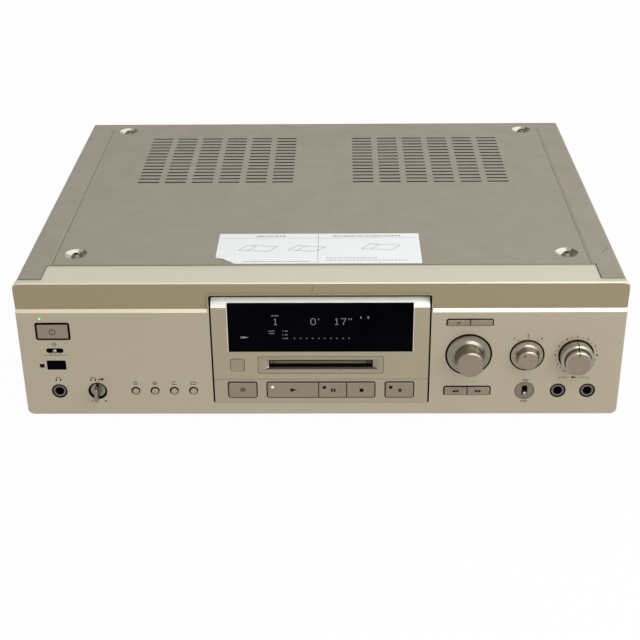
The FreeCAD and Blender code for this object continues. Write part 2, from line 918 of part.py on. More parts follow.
def top_cover():
    """Folded sheet over both sides and the top, with creases, screw dishes and two vent fields."""
    piece = Piece("top_cover")
    inner_half = cover_half - dim.cover_sheet
    shell = piece.sketch("front", arm_front)
    outline(shell, [(-cover_half, 0), (-inner_half, 0), (-inner_half, cover_under),
                    (inner_half, cover_under), (inner_half, 0), (cover_half, 0),
                    (cover_half, cover_top), (-cover_half, cover_top)])
    folded = piece.pad(shell, dim.case_depth - arm_front)
    outer_fold = piece.edges(folded, lambda edge: is_fold(edge, cover_half, cover_top))
    bend = piece.feature("Fillet", Base=(folded, outer_fold))
    bind(bend, "Radius", dim.cover_bend)
    inner_fold = piece.edges(bend, lambda edge: is_fold(edge, inner_half, cover_under))
    bend = piece.feature("Fillet", Base=(bend, inner_fold))
    bind(bend, "Radius", dim.cover_bend - dim.cover_sheet)
    for x in (-dish_x, dish_x):
        for y in (dim.dish_front, dish_back_y):
            screw_dish(piece, x, y)
    notch = piece.sketch("floor", cover_top)
    box_outline(notch, -arm_half - dim.cover_gap, arm_half + dim.cover_gap,
                0, dim.flange_reach + dim.cover_gap)
    piece.pocket(notch, dim.cover_lift + dim.flange_thick)
    crease = piece.sketch("front", dim.flange_reach)
    for side in (-1, 1):
        outer = (half_width - dim.crease_inset) * side
        inner = (half_width - dim.crease_inset - dim.crease_width) * side
        outline(crease, [(outer, cover_top), (outer, cover_top + dim.crease_depth),
                         (inner, cover_top + dim.crease_depth), (inner, cover_top),
                         ((outer + inner * 2) / 3, cover_top - dim.crease_depth)])
    piece.pocket(crease, dim.case_depth - dim.crease_end - dim.flange_reach)
    vents = piece.sketch("floor", cover_top)
    last_row = dim.case_depth - dim.vent_back - dim.vent_width / 2
    first_row = last_row - dim.vent_pitch_back * (dim.vent_rows - 1)
    for side in (-1, 1):
        for n in range(SIZES["vent_columns"]):
            near = (dim.vent_inner + dim.vent_pitch_across * n) * side
            far = near + dim.vent_length * side
            left, right = (near, far) if side > 0 else (far, near)
            box_outline(vents, left, right, first_row, first_row + dim.vent_width)
    first_vents = piece.pocket(vents, dim.cover_sheet * 2)
    field = piece.feature("LinearPattern", Originals=[first_vents], Direction=(vents, ["V_Axis"]))
    field.Mode = "Spacing"
    bind(field, "Offset", dim.vent_pitch_back)
    bind(field, "Occurrences", dim.vent_rows)
    piece.body.Tip = field


dish_x = half_width - dim.dish_inset
dish_back_y = dim.case_depth - dim.dish_back


def is_fold(edge, half, level):
    """True for the long edges that lie at plus or minus half across, at one level up."""
    middle = edge.valueAt((edge.FirstParameter + edge.LastParameter) / 2)
    straight = edge.BoundBox.XLength < 1e-4 and edge.BoundBox.ZLength < 1e-4
    return straight and abs(abs(middle.x) - half.number) < 1e-4 and abs(middle.z - level.number) < 1e-4


def screw_dish(piece, x, y):
    """A round dish pressed into the cover, with a hole for its screw."""
    shapes = (
        ("AdditiveCone", dim.dish_floor, dim.dish_radius, dim.dish_depth + dim.cover_sheet / 2),
        ("SubtractiveCone", dim.dish_floor - dim.cover_sheet / 2, dim.dish_radius, dim.dish_depth),
    )
    for kind, low_radius, high_radius, depth in shapes:
        cone = piece.feature(kind)
        bind(cone, "Radius1", low_radius)
        bind(cone, "Radius2", high_radius)
        bind(cone, "Height", depth)
        set_primitive(piece, cone, x, y, cover_top - depth)
    hole = piece.feature("SubtractiveCylinder")
    bind(hole, "Radius", dim.screw_hole)
    bind(hole, "Height", dim.dish_depth * 2)
    set_primitive(piece, hole, x, y, cover_top - dim.dish_depth * 2)


def set_primitive(piece, item, x, y, z):
    """Stand a primitive of a body on its floor plane."""
    item.AttachmentSupport = [(piece.plane("XY_Plane"), "")]
    item.MapMode = "FlatFace"
    bind(item, "AttachmentOffset.Base.x", x)
    bind(item, "AttachmentOffset.Base.y", y)
    bind(item, "AttachmentOffset.Base.z", z)


def cover_screws():
    """Four button-head screws, each with a hexagonal socket, seated in the cover's dishes."""
    screws = []
    seat = cover_top - dim.dish_depth
    for x in (-dish_x, dish_x):
        for y in (dim.dish_front, dish_back_y):
            screws.append(screw(x, y, seat))
    keep(group(screws), "cover_screws")


def screw(x, y, seat):
    """A button-head screw that points down, with its head's underside at the seat's level."""
    head = turned("Screw", "z", x, y, seat, [
        (-dim.screw_length, 0), (-dim.screw_length, dim.screw_shank), (0, dim.screw_shank),
        (0, dim.screw_head), (dim.screw_rise, dim.screw_crown), (dim.screw_rise, 0)], kept=False)
    drive = head.sketch("floor", dim.screw_rise)
    hexagon(drive, 0, 0, dim.screw_socket)
    head.pocket(drive, dim.screw_socket_depth)
    return head.body


def bottom_chassis():
    """Folded tray: a floor with vents, low side walls, and the posts of the boards and drive."""
    piece = Piece("bottom_chassis")
    tray = piece.sketch("front", frame_far)
    outer = cover_half - dim.cover_sheet - dim.cover_gap
    inner = outer - dim.sheet
    floor = dim.sheet
    outline(tray, [(-outer, 0), (outer, 0), (outer, dim.chassis_side), (inner, dim.chassis_side),
                   (inner, floor), (-inner, floor), (-inner, dim.chassis_side),
                   (-outer, dim.chassis_side)])
    piece.pad(tray, dim.case_depth - dim.sheet - frame_far)
    vents = piece.sketch("floor", dim.sheet)
    for n in range(SIZES["floor_vents"]):
        x = dim.floor_vent_pitch * (n - (SIZES["floor_vents"] - 1) / 2)
        box_outline(vents, x - dim.floor_vent_width / 2, x + dim.floor_vent_width / 2,
                    dim.case_depth / 2 - dim.floor_vent_length / 2,
                    dim.case_depth / 2 + dim.floor_vent_length / 2)
    piece.pocket(vents, dim.sheet * 2)
    board_feet = piece.sketch("floor", dim.sheet / 2)
    for x, y in board_posts():
        hexagon(board_feet, x, y, dim.post_radius)
    piece.pad(board_feet, dim.sheet / 2 + dim.post_height)
    drive_feet = piece.sketch("floor", dim.sheet / 2)
    for x, y in drive_mounts():
        hexagon(drive_feet, x, y, dim.mount_radius)
    piece.pad(drive_feet, drive_floor - dim.sheet / 2)


def rear_panel():
    """Flat steel plate that closes the back, cut out for the sockets."""
    piece = Piece("rear_panel")
    outer = cover_half - dim.cover_sheet - dim.cover_gap
    plate = piece.sketch("front", dim.case_depth - dim.sheet)
    round_box(plate, -outer, outer, 0, cover_under - dim.cover_gap, dim.cover_bend - dim.cover_sheet)
    piece.pad(plate, dim.sheet)
    holes = piece.sketch("front", dim.case_depth - dim.sheet)
    box_outline(holes, phono_left - dim.socket_play, phono_right + dim.socket_play,
                phono_foot - dim.socket_play, phono_top + dim.socket_play)
    for x in optical_places:
        box_outline(holes, x - dim.optical_width / 2 - dim.socket_play,
                    x + dim.optical_width / 2 + dim.socket_play,
                    dim.phono_level - dim.optical_height / 2 - dim.socket_play,
                    dim.phono_level + dim.optical_height / 2 + dim.socket_play)
    box_outline(holes, inlet_x - dim.inlet_width / 2 - dim.socket_play,
                inlet_x + dim.inlet_width / 2 + dim.socket_play,
                dim.inlet_level - dim.inlet_height / 2 - dim.socket_play,
                dim.inlet_level + dim.inlet_height / 2 + dim.socket_play)
    piece.pocket(holes)


phono_places = [(right_side - dim.phono_inset + dim.phono_pitch_across * n, dim.phono_level + rise)
                for n in range(3) for rise in (-dim.phono_pitch_up / 2, dim.phono_pitch_up / 2)]
phono_left = phono_places[0][0] - dim.phono_base
phono_right = phono_places[-1][0] + dim.phono_base
phono_foot = phono_places[0][1] - dim.phono_base
phono_top = phono_places[-1][1] + dim.phono_base
optical_places = [right_side - dim.optical_inset + dim.optical_pitch * n + dim.phono_pitch_across
                  for n in range(2)]
inlet_x = left_side + dim.inlet_inset


def feet():
    """Four tapered feet under the chassis, each with a pad glued under it."""
    cones = []
    pads = []
    for x in (left_side + dim.foot_inset_side, right_side - dim.foot_inset_side):
        for y in (dim.foot_inset_front, dim.case_depth - dim.foot_inset_back):
            foot = turned("Foot", "z", x, y, -dim.foot_height, [
                (dim.pad_thick, 0), (dim.pad_thick, dim.foot_radius),
                (dim.foot_height, dim.foot_top), (dim.foot_height, 0)], kept=False)
            cones.append(foot.body)
            pads.append(rod(x, y, -dim.foot_height, dim.pad_radius, dim.pad_thick, "z"))
    keep(group(cones), "feet")
    keep(group(pads), "foot_pads")


def front_frame():
    """Steel frame behind the front panel, with three windows and folded edges."""
    piece = Piece("front_frame")
    outer = half_width - dim.frame_margin
    low = dim.sheet
    high = frame_top
    plate = piece.sketch("front", frame_near)
    box_outline(plate, -outer, outer, low, high)
    piece.pad(plate, dim.sheet)
    lips = piece.sketch("front", frame_near)
    box_outline(lips, -outer, outer, high - dim.sheet, high)
    box_outline(lips, -outer, outer, low, low + dim.sheet)
    piece.pad(lips, dim.frame_flange)
    windows = piece.sketch("front", frame_near)
    window_low = low + dim.frame_rail
    window_high = high - dim.frame_rail
    for left, right in ((-outer + dim.frame_side_bar, -bar_outer), (-bar_inner, bar_inner),
                        (bar_outer, outer - dim.frame_side_bar)):
        box_outline(windows, left, right, window_low, window_high)
    piece.pocket(windows, dim.sheet)
    bosses = piece.sketch("front", frame_near)
    for x, z in boss_places():
        hexagon(bosses, x, z, dim.boss_radius)
    piece.pad(bosses, dim.board_front - frame_near)


bar_inner = pod_half - dim.frame_bar_inside
bar_outer = pod_half + dim.frame_bar_outside
frame_top = dim.case_height - dim.flange_thick - dim.frame_top_gap


def boss_places():
    """Where the front board is screwed to the frame: on its side bars and its two inner bars."""
    outer = half_width - dim.frame_margin - dim.frame_side_bar / 2
    inner = (bar_inner + bar_outer) / 2
    low = dim.sheet + dim.boss_inset
    high = frame_top - dim.boss_inset
    return [(x, z) for x in (-outer, -inner, inner, outer) for z in (low, high)]


def front_board():
    """Circuit board behind all the controls, with their push switches; the disc passes it."""
    piece = Piece("front_board")
    outer = half_width - dim.frame_margin - dim.cover_gap
    plate = piece.sketch("front", dim.board_front)
    low = dim.sheet * 2 + dim.cover_gap
    high = frame_top - dim.sheet - dim.cover_gap
    box_outline(plate, -outer, outer, low, high)
    piece.pad(plate, dim.board_thick)
    holes = piece.sketch("front", dim.board_front)
    half = slot_half + dim.disc_way
    box_outline(holes, -half, half, slot_foot - dim.disc_way, slot_top + dim.disc_way)
    half = dim.socket_body + dim.socket_play
    for x in (edge_x, mic_left_x, mic_right_x):
        box_outline(holes, x - half, x + half, dim.socket_level - half, dim.socket_level + half)
    piece.pocket(holes)
    cans = piece.sketch("front", dim.board_front)
    buttons = piece.sketch("front", dim.board_front - dim.switch_height)
    half = dim.switch_side / 2
    reach = dim.switch_button
    for x, z in switch_places:
        box_outline(cans, x - half, x + half, z - half, z + half)
        box_outline(buttons, x - reach, x + reach, z - reach, z + reach)
    piece.pad(cans, dim.switch_height, reverse=False)
    piece.pad(buttons, dim.board_front - dim.switch_height - switch_front, reverse=False)


# ---------------------------------------------------------------- keys, lights and switches

def key(label, opening, ends="", gap=dim.key_gap, light=None):
    """A key cap in its opening, with flanges above and below behind the panel, and a stem.

    ends names the sides whose corners are round like the opening's, or middle for a key that
    stands between two others; without it the gap goes all round a square cap.
    """
    piece = Piece(label)
    left = opening.left + (gap if "left" in ends else gap / 2)
    right = opening.right - (gap if "right" in ends else gap / 2)
    if not ends:
        left = opening.left + gap
        right = opening.right - gap
    low = opening.foot + gap
    high = opening.top - gap
    cap = piece.sketch("front", -dim.key_reach)
    box_outline(cap, left, right, low, high)
    flange_near = dim.panel_thick + dim.key_flange_gap
    shape = piece.pad(cap, dim.key_reach + flange_near + dim.key_flange)
    round_sides = [side for name, side in (("left", left), ("right", right)) if name in ends]

    def outer_corner(edge):
        return any(on_level("x", side)(edge) for side in round_sides) and (
            on_level("z", low)(edge) or on_level("z", high)(edge))

    if round_sides:
        shape = piece.soften("Fillet", shape, outer_corner, dim.key_corner - gap)
    piece.soften("Chamfer", shape, on_level("y", -dim.key_reach), dim.key_edge)
    middle_x = (left + right) / 2
    middle_z = (low + high) / 2
    key_back(piece, middle_x, middle_z, right - middle_x,
             opening.top + dim.key_flange_lap - middle_z)
    if light is not None:
        hole = piece.sketch("front", -dim.key_reach)
        circle(hole, light, opening.foot + dim.light_rise, dim.light_radius + dim.light_play)
        piece.pocket(hole)
    switch_places.append((middle_x, middle_z))


def key_back(piece, x, z, half, rise):
    """The flange that holds a key behind the panel, and the stem that presses its switch."""
    near = dim.panel_thick + dim.key_flange_gap
    flange = piece.sketch("front", near)
    box_outline(flange, x - half, x + half, z - rise, z + rise)
    piece.pad(flange, dim.key_flange)
    stem = piece.sketch("front", near)
    side = dim.key_stem
    box_outline(stem, x - side, x + side, z - side, z + side)
    piece.pad(stem, dim.stem_end - near)


def keys():
    key("power_button", power_opening, gap=dim.power_gap)
    key("eject_button", eject_opening, "left right")
    play, pause, stop = transport_keys
    key("play_button", play, "left", light=play.left + dim.light_inset)
    key("pause_button", pause, "middle", light=pause.left + dim.light_inset)
    key("stop_button", stop, "right")
    key("record_button", record_opening, "left right", light=record_opening.left + dim.light_inset)
    no_key, yes_key = edit_opening.split(dim.edit_width / 2, dim.edit_width / 2)
    key("no_button", no_key, "left")
    key("yes_button", yes_key, "right")
    back_key, ahead_key = search_opening.split(dim.search_width / 2, dim.search_width / 2)
    key("rewind_button", back_key, "left")
    key("forward_button", ahead_key, "right")
    for label, x in zip(("time_button", "mode_button", "repeat_button", "scroll_button"),
                        round_key_places):
        round_key(label, x)


def round_key(label, x):
    """A small round key cap on a square flange behind the panel."""
    cap_back = dim.panel_thick + dim.key_flange_gap + dim.key_flange / 2
    cap = turned(label, "y", x, 0, dim.socket_level, [
        (-dim.key_reach, 0), (-dim.key_reach, dim.round_key_radius - dim.key_edge),
        (dim.key_edge - dim.key_reach, dim.round_key_radius),
        (cap_back, dim.round_key_radius), (cap_back, 0)])
    flange = dim.round_key_hole + dim.key_flange_lap
    key_back(cap, 0, 0, flange, flange)
    switch_places.append((x, dim.socket_level))


def lights():
    pipes = []
    for opening in lit_keys:
        x = opening.left + dim.light_inset
        pipes.append(rod(x, dim.light_sink - dim.key_reach, opening.foot + dim.light_rise,
                         dim.light_radius, dim.board_front - dim.light_sink + dim.key_reach))
    shoulder = dim.panel_thick + dim.key_flange_gap
    led = turned("Led", "y", led_x, 0, led_level, [
        (-dim.led_dome, 0), (-dim.led_dome, dim.led_tip), (0, dim.led_radius),
        (shoulder, dim.led_radius), (shoulder, dim.led_flange), (dim.board_front, dim.led_flange),
        (dim.board_front, 0)], kept=False)
    keep(group(pipes + [led.body]), "light_pipes")


def timer_switch():
    """Three-place slide switch: its lever stands out of a slot in a black plate."""
    plate_far = dim.panel_thick + dim.well_floor
    half = dim.timer_slot_width / 2 + dim.timer_travel
    rise = dim.timer_slot_height
    rail = dim.timer_travel + dim.lever_radius + dim.lever_play
    slot = dim.timer_slot_height / 2 - dim.light_sink
    tongue = dim.timer_travel * 2 + dim.lever_play
    housing = block(edge_x - half, edge_x + half, dim.panel_thick, dim.board_front,
                    timer_level - rise, timer_level + rise)
    mouth = block(edge_x - rail, edge_x + rail, dim.panel_thick, plate_far,
                  timer_level - slot, timer_level + slot)
    cavity = block(edge_x - tongue, edge_x + tongue, plate_far,
                   plate_far + dim.lever_play * 2 + dim.sheet,
                   timer_level - slot - dim.lever_play, timer_level + slot + dim.lever_play)
    slide_switches.append(cut(housing, [mouth, cavity]))
    lever = Piece("timer_lever", edge_x, 0, timer_level)
    pin = lever.sketch("front", -dim.lever_reach)
    circle(pin, 0, 0, dim.lever_radius)
    tip = lever.pad(pin, dim.lever_reach + plate_far + dim.lever_play)
    lever.soften("Chamfer", tip, on_level("y", -dim.lever_reach), dim.lever_edge)
    slider(lever, plate_far + dim.lever_play, dim.timer_travel)


def slider(lever, near, half):
    """The flat tongue behind a lever's pin, which the switch body guides."""
    tongue = lever.sketch("front", near)
    box_outline(tongue, -half, half, -dim.lever_radius, dim.lever_radius)
    lever.pad(tongue, dim.sheet)


def mic_switch():
    """Round plate with an upright slot, and the lever that slides in it."""
    x = input_x
    plate = turned("mic_switch_plate", "y", x, 0, dim.socket_level, [
        (0, 0), (0, dim.mic_plate_radius), (dim.panel_thick, dim.mic_plate_radius),
        (dim.panel_thick, 0)])
    slot = plate.sketch("front")
    round_box(slot, -dim.mic_slot_width / 2, dim.mic_slot_width / 2, -dim.mic_slot_height / 2,
              dim.mic_slot_height / 2, dim.mic_slot_width / 2 - dim.light_sink)
    plate.pocket(slot)
    lever_z = dim.socket_level - dim.mic_travel / 2
    lever = Piece("mic_switch_lever", x, 0, lever_z)
    pin = lever.sketch("front", -dim.lever_reach)
    circle(pin, 0, 0, dim.lever_radius)
    tip = lever.pad(pin, dim.lever_reach + dim.panel_thick + dim.lever_play)
    lever.soften("Chamfer", tip, on_level("y", -dim.lever_reach), dim.lever_edge)
    slider(lever, dim.panel_thick + dim.lever_play, dim.mic_travel)
    half = dim.mic_plate_radius
    near = dim.panel_thick + dim.lever_play * 2 + dim.sheet
    slide_switches.append(block(x - half, x + half, near, dim.board_front,
                                dim.socket_level - half, dim.socket_level + half))
    keep(group(slide_switches), "slide_switches")


def remote_window():
    piece = Piece("remote_window", edge_x, 0, remote_level)
    half = dim.remote_width / 2 - dim.window_play
    rise = dim.remote_height / 2 - dim.window_play
    pane = piece.sketch("front", dim.light_sink)
    round_box(pane, -half, half, -rise, rise, dim.remote_corner)
    piece.pad(pane, dim.panel_thick - dim.light_sink)
    lip = piece.sketch("front", dim.panel_thick)
    box_outline(lip, -half - dim.window_lip, half + dim.window_lip, -rise - dim.window_lip,
                rise + dim.window_lip)
    piece.pad(lip, dim.sheet)


def socket(x):
    """A quarter-inch jack socket: a square body behind the panel and a shouldered nose in it."""
    piece = Piece("Socket", x, 0, dim.socket_level, kept=False)
    body_near = dim.panel_thick + dim.ring_play
    bore_end = dim.light_sink + dim.socket_bore_length
    half = dim.socket_body
    body = piece.sketch("front", body_near)
    box_outline(body, -half, half, -half, half)
    piece.pad(body, bore_end + dim.socket_end - body_near)
    nose = piece.sketch("side")
    nose_radius = dim.socket_hole - dim.ring_play
    nose_end = body_near + dim.sheet
    outline(nose, [(dim.light_sink, 0), (dim.light_sink, dim.socket_ring),
                   (dim.sheet, dim.socket_ring), (dim.sheet, nose_radius), (nose_end, nose_radius),
                   (nose_end, 0)])
    piece.turn(nose, "H_Axis")
    bore = piece.sketch("front", dim.light_sink)
    circle(bore, 0, 0, dim.socket_bore)
    piece.pocket(bore, dim.socket_bore_length)
    return piece.body


def sockets():
    keep(socket(edge_x), "phones_socket")
    keep(group([socket(mic_left_x), socket(mic_right_x)]), "mic_sockets")


# ---------------------------------------------------------------- knobs and what they turn

def skirted_knob(label, x, z, skirt, radius, face, reach, flare, shaft_end=None, bore=None):
    """A turned knob: a skirt in the panel's hole, a hollow flare, a drum and a softened face.

    It has a shaft of its own, as far back as shaft_end, or a bore for one.
    """
    back = dim.skirt_thick - dim.skirt_proud
    front_corners = [(-reach, 0), (-reach, face), (-reach + dim.knob_edge, radius)]
    turns = [math.pi / 2 * n / SIZES["flare_steps"] for n in range(SIZES["flare_steps"] + 1)]
    hollow = [(-dim.skirt_proud - flare + flare * math.sin(turn), radius + flare - flare * math.cos(turn))
              for turn in turns]
    profile = front_corners + hollow + [(-dim.skirt_proud, skirt), (back, skirt)]
    if bore is None:
        profile += [(back, dim.shaft_radius), (shaft_end, dim.shaft_radius), (shaft_end, 0)]
    else:
        profile += [(back, bore), (dim.skirt_thick - reach, bore), (dim.skirt_thick - reach, 0)]
    turned(label, "y", x, 0, z, profile)


def jog():
    """Jog knob on a shaft that is also pushed, in a bush on the front board."""
    bore = dim.shaft_radius + dim.shaft_play
    skirted_knob("jog_knob", jog_x, jog_level, dim.jog_skirt, dim.jog_radius, dim.jog_face,
                 dim.jog_reach, dim.jog_flare, bore=bore)
    shaft_front = dim.skirt_thick - dim.jog_reach + dim.lever_play
    shaft_back = dim.board_front - dim.jog_push - dim.lever_play
    shaft = rod(jog_x, shaft_front, jog_level, dim.shaft_radius, shaft_back - shaft_front)
    keep(shaft, "jog_shaft")


def control(x, z, bore, bush_near):
    """A rotary control: a square can on the front board, a nut on its bush, and a bore."""
    half = dim.control_side / 2
    can = block(x - half, x + half, dim.control_front, dim.board_front, z - half, z + half)
    nut = rod(x, bush_near, z, dim.nut_radius, dim.board_front - bush_near, sides=6)
    hole = rod(x, bush_near, z, bore, dim.board_front - bush_near)
    controls.append(cut(joined([can, nut]), [hole]))


def knobs():
    jog()
    shaft_end = dim.board_front - dim.lever_play
    skirted_knob("input_knob", input_x, dial_level, dim.input_skirt, dim.input_radius,
                 dim.input_radius - dim.knob_edge, dim.input_reach, dim.input_flare, shaft_end)
    shaft_bore = dim.shaft_radius + dim.shaft_play
    clear = dim.skirt_thick - dim.skirt_proud + dim.lever_play
    control(jog_x, jog_level, shaft_bore, clear + dim.jog_push)
    control(input_x, dial_level, shaft_bore, clear)
    control(level_x, dial_level, dim.sleeve_radius + dim.shaft_play, clear)
    edge = dim.knob_edge
    ring_back = dim.skirt_thick - dim.skirt_proud
    ring_floor = -dim.sheet
    turned("level_ring", "y", level_x, 0, dial_level, [
        (-dim.level_ring_reach, dim.level_bore),
        (-dim.level_ring_reach, dim.level_ring_radius - edge),
        (edge - dim.level_ring_reach, dim.level_ring_radius),
        (ring_back, dim.level_ring_radius), (ring_back, dim.sleeve_radius),
        (dim.board_front / 2, dim.sleeve_radius), (dim.board_front / 2, shaft_bore),
        (ring_floor, shaft_bore), (ring_floor, dim.level_bore)])
    knob_back = ring_floor - dim.lever_play
    turned("level_knob", "y", level_x, 0, dial_level, [
        (-dim.level_reach, 0), (-dim.level_reach, dim.level_radius - edge),
        (edge - dim.level_reach, dim.level_radius), (knob_back, dim.level_radius),
        (knob_back, dim.shaft_radius), (shaft_end, dim.shaft_radius), (shaft_end, 0)])
    phone_level()
    keep(group(controls), "rotary_controls")


def phone_level():
    """Wing knob in a round black well."""
    wall = dim.well_radius - dim.ring_play
    well_back = dim.well_depth + dim.well_floor
    shaft_hole = dim.small_shaft + dim.bush_play
    turned("phone_level_well", "y", well_x, 0, dim.socket_level, [
        (dim.light_sink, wall - dim.well_wall), (dim.light_sink, wall), (well_back, wall),
        (well_back, shaft_hole), (dim.well_depth, shaft_hole),
        (dim.well_depth, wall - dim.well_wall)])
    knob = turned("phone_level_knob", "y", well_x, 0, dim.socket_level, [
        (dim.sheet, 0), (dim.sheet, dim.wing_disc), (dim.well_depth - dim.lever_play, dim.wing_disc),
        (dim.well_depth - dim.lever_play, dim.small_shaft),
        (dim.board_front - dim.lever_play, dim.small_shaft), (dim.board_front - dim.lever_play, 0)])
    wing = knob.sketch("front", -dim.wing_reach)
    half = dim.wing_width / 2
    round_box(wing, -half, half, -dim.wing_half, dim.wing_half, half - dim.light_sink)
    blade = knob.pad(wing, dim.wing_reach + dim.sheet * 2)
    knob.soften("Chamfer", blade, on_level("y", -dim.wing_reach), dim.key_edge)
    near = well_back + dim.lever_play
    half = dim.small_can / 2
    can = block(well_x - half, well_x + half, near, dim.board_front,
                dim.socket_level - half, dim.socket_level + half)
    hole = rod(well_x, near, dim.socket_level, dim.small_shaft + dim.shaft_play,
               dim.board_front - near)
    controls.append(cut(can, [hole]))


# ---------------------------------------------------------------- display and rear sockets

def display_tube():
    """Evacuated glass display on the front board, with its stub of sealed pipe."""
    far = dim.board_front - dim.lever_play
    near = far - dim.tube_thick
    half = window_half - dim.tube_margin
    glass = block(-half, half, near, far, window_foot + dim.tube_margin / 2,
                  window_top - dim.tube_margin / 2)
    stub = rod(half - dim.tube_margin, (near + far) / 2, window_foot + dim.tube_margin / 2
               - dim.sheet * 2, dim.sheet, dim.sheet * 3, "z")
    keep(joined([glass, stub]), "display_tube")


def rear_sockets():
    phonos = Piece("Phonos", 0, dim.case_depth, 0, kept=False)
    moulding = phonos.sketch("front", -dim.phono_reach)
    box_outline(moulding, phono_left, phono_right, phono_foot, phono_top)
    phonos.pad(moulding, dim.phono_reach + dim.sheet)
    barrels = phonos.sketch("front")
    pin_holes = phonos.sketch("front", dim.phono_reach - dim.phono_hole_depth)
    for x, z in phono_places:
        circle(barrels, x, z, dim.phono_radius)
        circle(pin_holes, x, z, dim.phono_hole)
    phonos.pad(barrels, dim.phono_reach)
    phonos.pocket(pin_holes, dim.phono_hole_depth)
    jacks = [phonos.body]
    for x in optical_places:
        port = Piece("Port", x, dim.case_depth, dim.phono_level, kept=False)
        face = port.sketch("front", -dim.phono_reach)
        box_outline(face, -dim.optical_width / 2, dim.optical_width / 2,
                    -dim.optical_height / 2, dim.optical_height / 2)
        body = port.pad(face, dim.phono_reach + dim.optical_reach)
        port.soften("Chamfer", body, on_level("y", dim.optical_reach), dim.optical_reach / 2)
        jacks.append(port.body)
    keep(group(jacks), "audio_sockets")
    mains_inlet()


def mains_inlet():
    """Three-blade mains inlet: a deep box open to the back, with its blades."""
    piece = Piece("mains_inlet", inlet_x, dim.case_depth, dim.inlet_level)
    half = dim.inlet_width / 2
    rise = dim.inlet_height / 2
    shell = piece.sketch("front", -dim.inlet_depth)
    box_outline(shell, -half, half, -rise, rise)
    piece.pad(shell, dim.inlet_depth + dim.inlet_lip)
    well = piece.sketch("front", dim.inlet_wall - dim.inlet_depth)
    box_outline(well, dim.inlet_wall - half, half - dim.inlet_wall, dim.inlet_wall - rise,
                rise - dim.inlet_wall)
    piece.pocket(well)
    blades = piece.sketch("front", dim.inlet_wall - dim.inlet_depth)
    for n, lift in ((-1, -1), (0, 1), (1, -1)):
        x = dim.blade_pitch * n
        z = dim.blade_thick * lift
        box_outline(blades, x - dim.blade_thick / 2, x + dim.blade_thick / 2,
                    z - dim.blade_width / 2, z + dim.blade_width / 2)
    piece.pad(blades, dim.blade_length)


# ---------------------------------------------------------------- electronics

def transformer():
    """Laminated core with its coil, on the chassis floor at the left."""
    floor = dim.sheet
    x = left_side + dim.core_inset
    y = dim.core_front
    half = dim.core_width / 2
    limb = dim.core_limb
    core = block(x - half, x + half, y, y + dim.core_thick, floor, floor + dim.core_height)
    window_low = floor + limb
    window_high = floor + dim.core_height - limb
    windows = [
        block(x - half + limb, x - limb, y, y + dim.core_thick, window_low, window_high),
        block(x + limb, x + half - limb, y, y + dim.core_thick, window_low, window_high)]
    keep(cut(core, windows), "transformer_core")
    play = dim.lever_play
    reach = dim.core_coil
    coil = Piece("transformer_coil", x, y)
    winding = coil.sketch("floor", window_low + play)
    round_box(winding, limb + play - half, half - limb - play, -reach, dim.core_thick + reach,
              dim.coil_round)
    box_outline(winding, -limb - play / 2, limb + play / 2, -play / 2, dim.core_thick + play / 2)
    coil.pad(winding, window_high - window_low - play * 2)


board_far = dim.case_depth - dim.phono_reach - dim.board_clear
board_gap_left = -dim.board_split
board_outer = cover_half - dim.board_side


def board_posts():
    """Centres of the posts under the corners of both lower boards."""
    edge = dim.board_clear
    return [(x, y)
            for left, right in ((-board_outer, board_gap_left), (board_gap_left + edge, board_outer))
            for x in (left + edge, right - edge)
            for y in (dim.board_start + edge, board_far - edge)]


def boards():
    """Power board at the left and main board at the right, on posts, with what they carry."""
    near = dim.board_start
    far = board_far
    low = dim.sheet + dim.post_height
    high = low + dim.board_thick
    split = board_gap_left
    outer = board_outer
    cans = [block(-outer, split, near, far, low, high)]
    for n in range(SIZES["can_count"]):
        x = dim.can_inset - outer + dim.can_pitch * n
        cans.append(rod(x, near + dim.can_front, high, dim.can_radius, dim.can_height, "z"))
    keep(joined(cans), "power_board")
    chips = [block(split + dim.board_clear, outer, near, far, low, high)]
    for n in range(SIZES["chip_count"]):
        x = dim.chip_first + dim.chip_pitch * n
        y = (near + far) / 2 + dim.chip_side * (n % 2)
        chips.append(block(x, x + dim.chip_side, y, y + dim.chip_side, high, high + dim.chip_height))
    keep(joined(chips), "main_board")
    heat_sink(-outer + dim.board_clear * 2, far - dim.sink_back, high)


def heat_sink(left, near, low):
    """Extruded heat sink: a thick spine with upright fins."""
    piece = Piece("heat_sink", left, near, low)
    section = piece.sketch("floor")
    corners = [(0, 0)]
    count = SIZES["fin_count"]
    for n in range(count):
        start = dim.fin_pitch * n
        corners += [(start, 0), (start, -dim.fin_length), (start + dim.fin_thick, -dim.fin_length),
                    (start + dim.fin_thick, 0)]
    far = dim.fin_pitch * (count - 1) + dim.fin_thick
    corners = corners[1:] + [(far, dim.fin_spine), (0, dim.fin_spine)]
    outline(section, corners)
    piece.pad(section, dim.sink_height)


# ---------------------------------------------------------------- disc drive

drive_near = board_back + dim.drive_gap
holder_near = drive_near + dim.holder_gap
disc_y = holder_near + dim.holder_front + dim.disc_length / 2
holder_far = holder_near + dim.holder_front + dim.disc_length + dim.holder_back
drive_half = slot_half + dim.drive_side
holder_floor = slot_foot - dim.holder_sheet - dim.holder_drop
holder_roof = slot_top + dim.holder_drop
turntable_top = slot_foot - dim.holder_travel - dim.holder_drop + dim.hub_entry
drive_floor = turntable_top - dim.drive_depth
sled_near = disc_y + dim.motor_radius + dim.sled_clear
sled_far = sled_near + dim.sled_length
arm_near = holder_far + dim.arm_clear
arm_far = arm_near + dim.arm_post
rod_far = arm_far + dim.sled_travel + dim.sled_clear
drive_far = rod_far + dim.bearing_thick + dim.sled_motor_length + dim.sled_clear
rod_level = drive_floor + dim.drive_sheet + dim.rod_rise
pin_level = holder_floor + dim.pin_rise
holder_half = slot_half - dim.slot_play_side + dim.holder_play + dim.holder_sheet


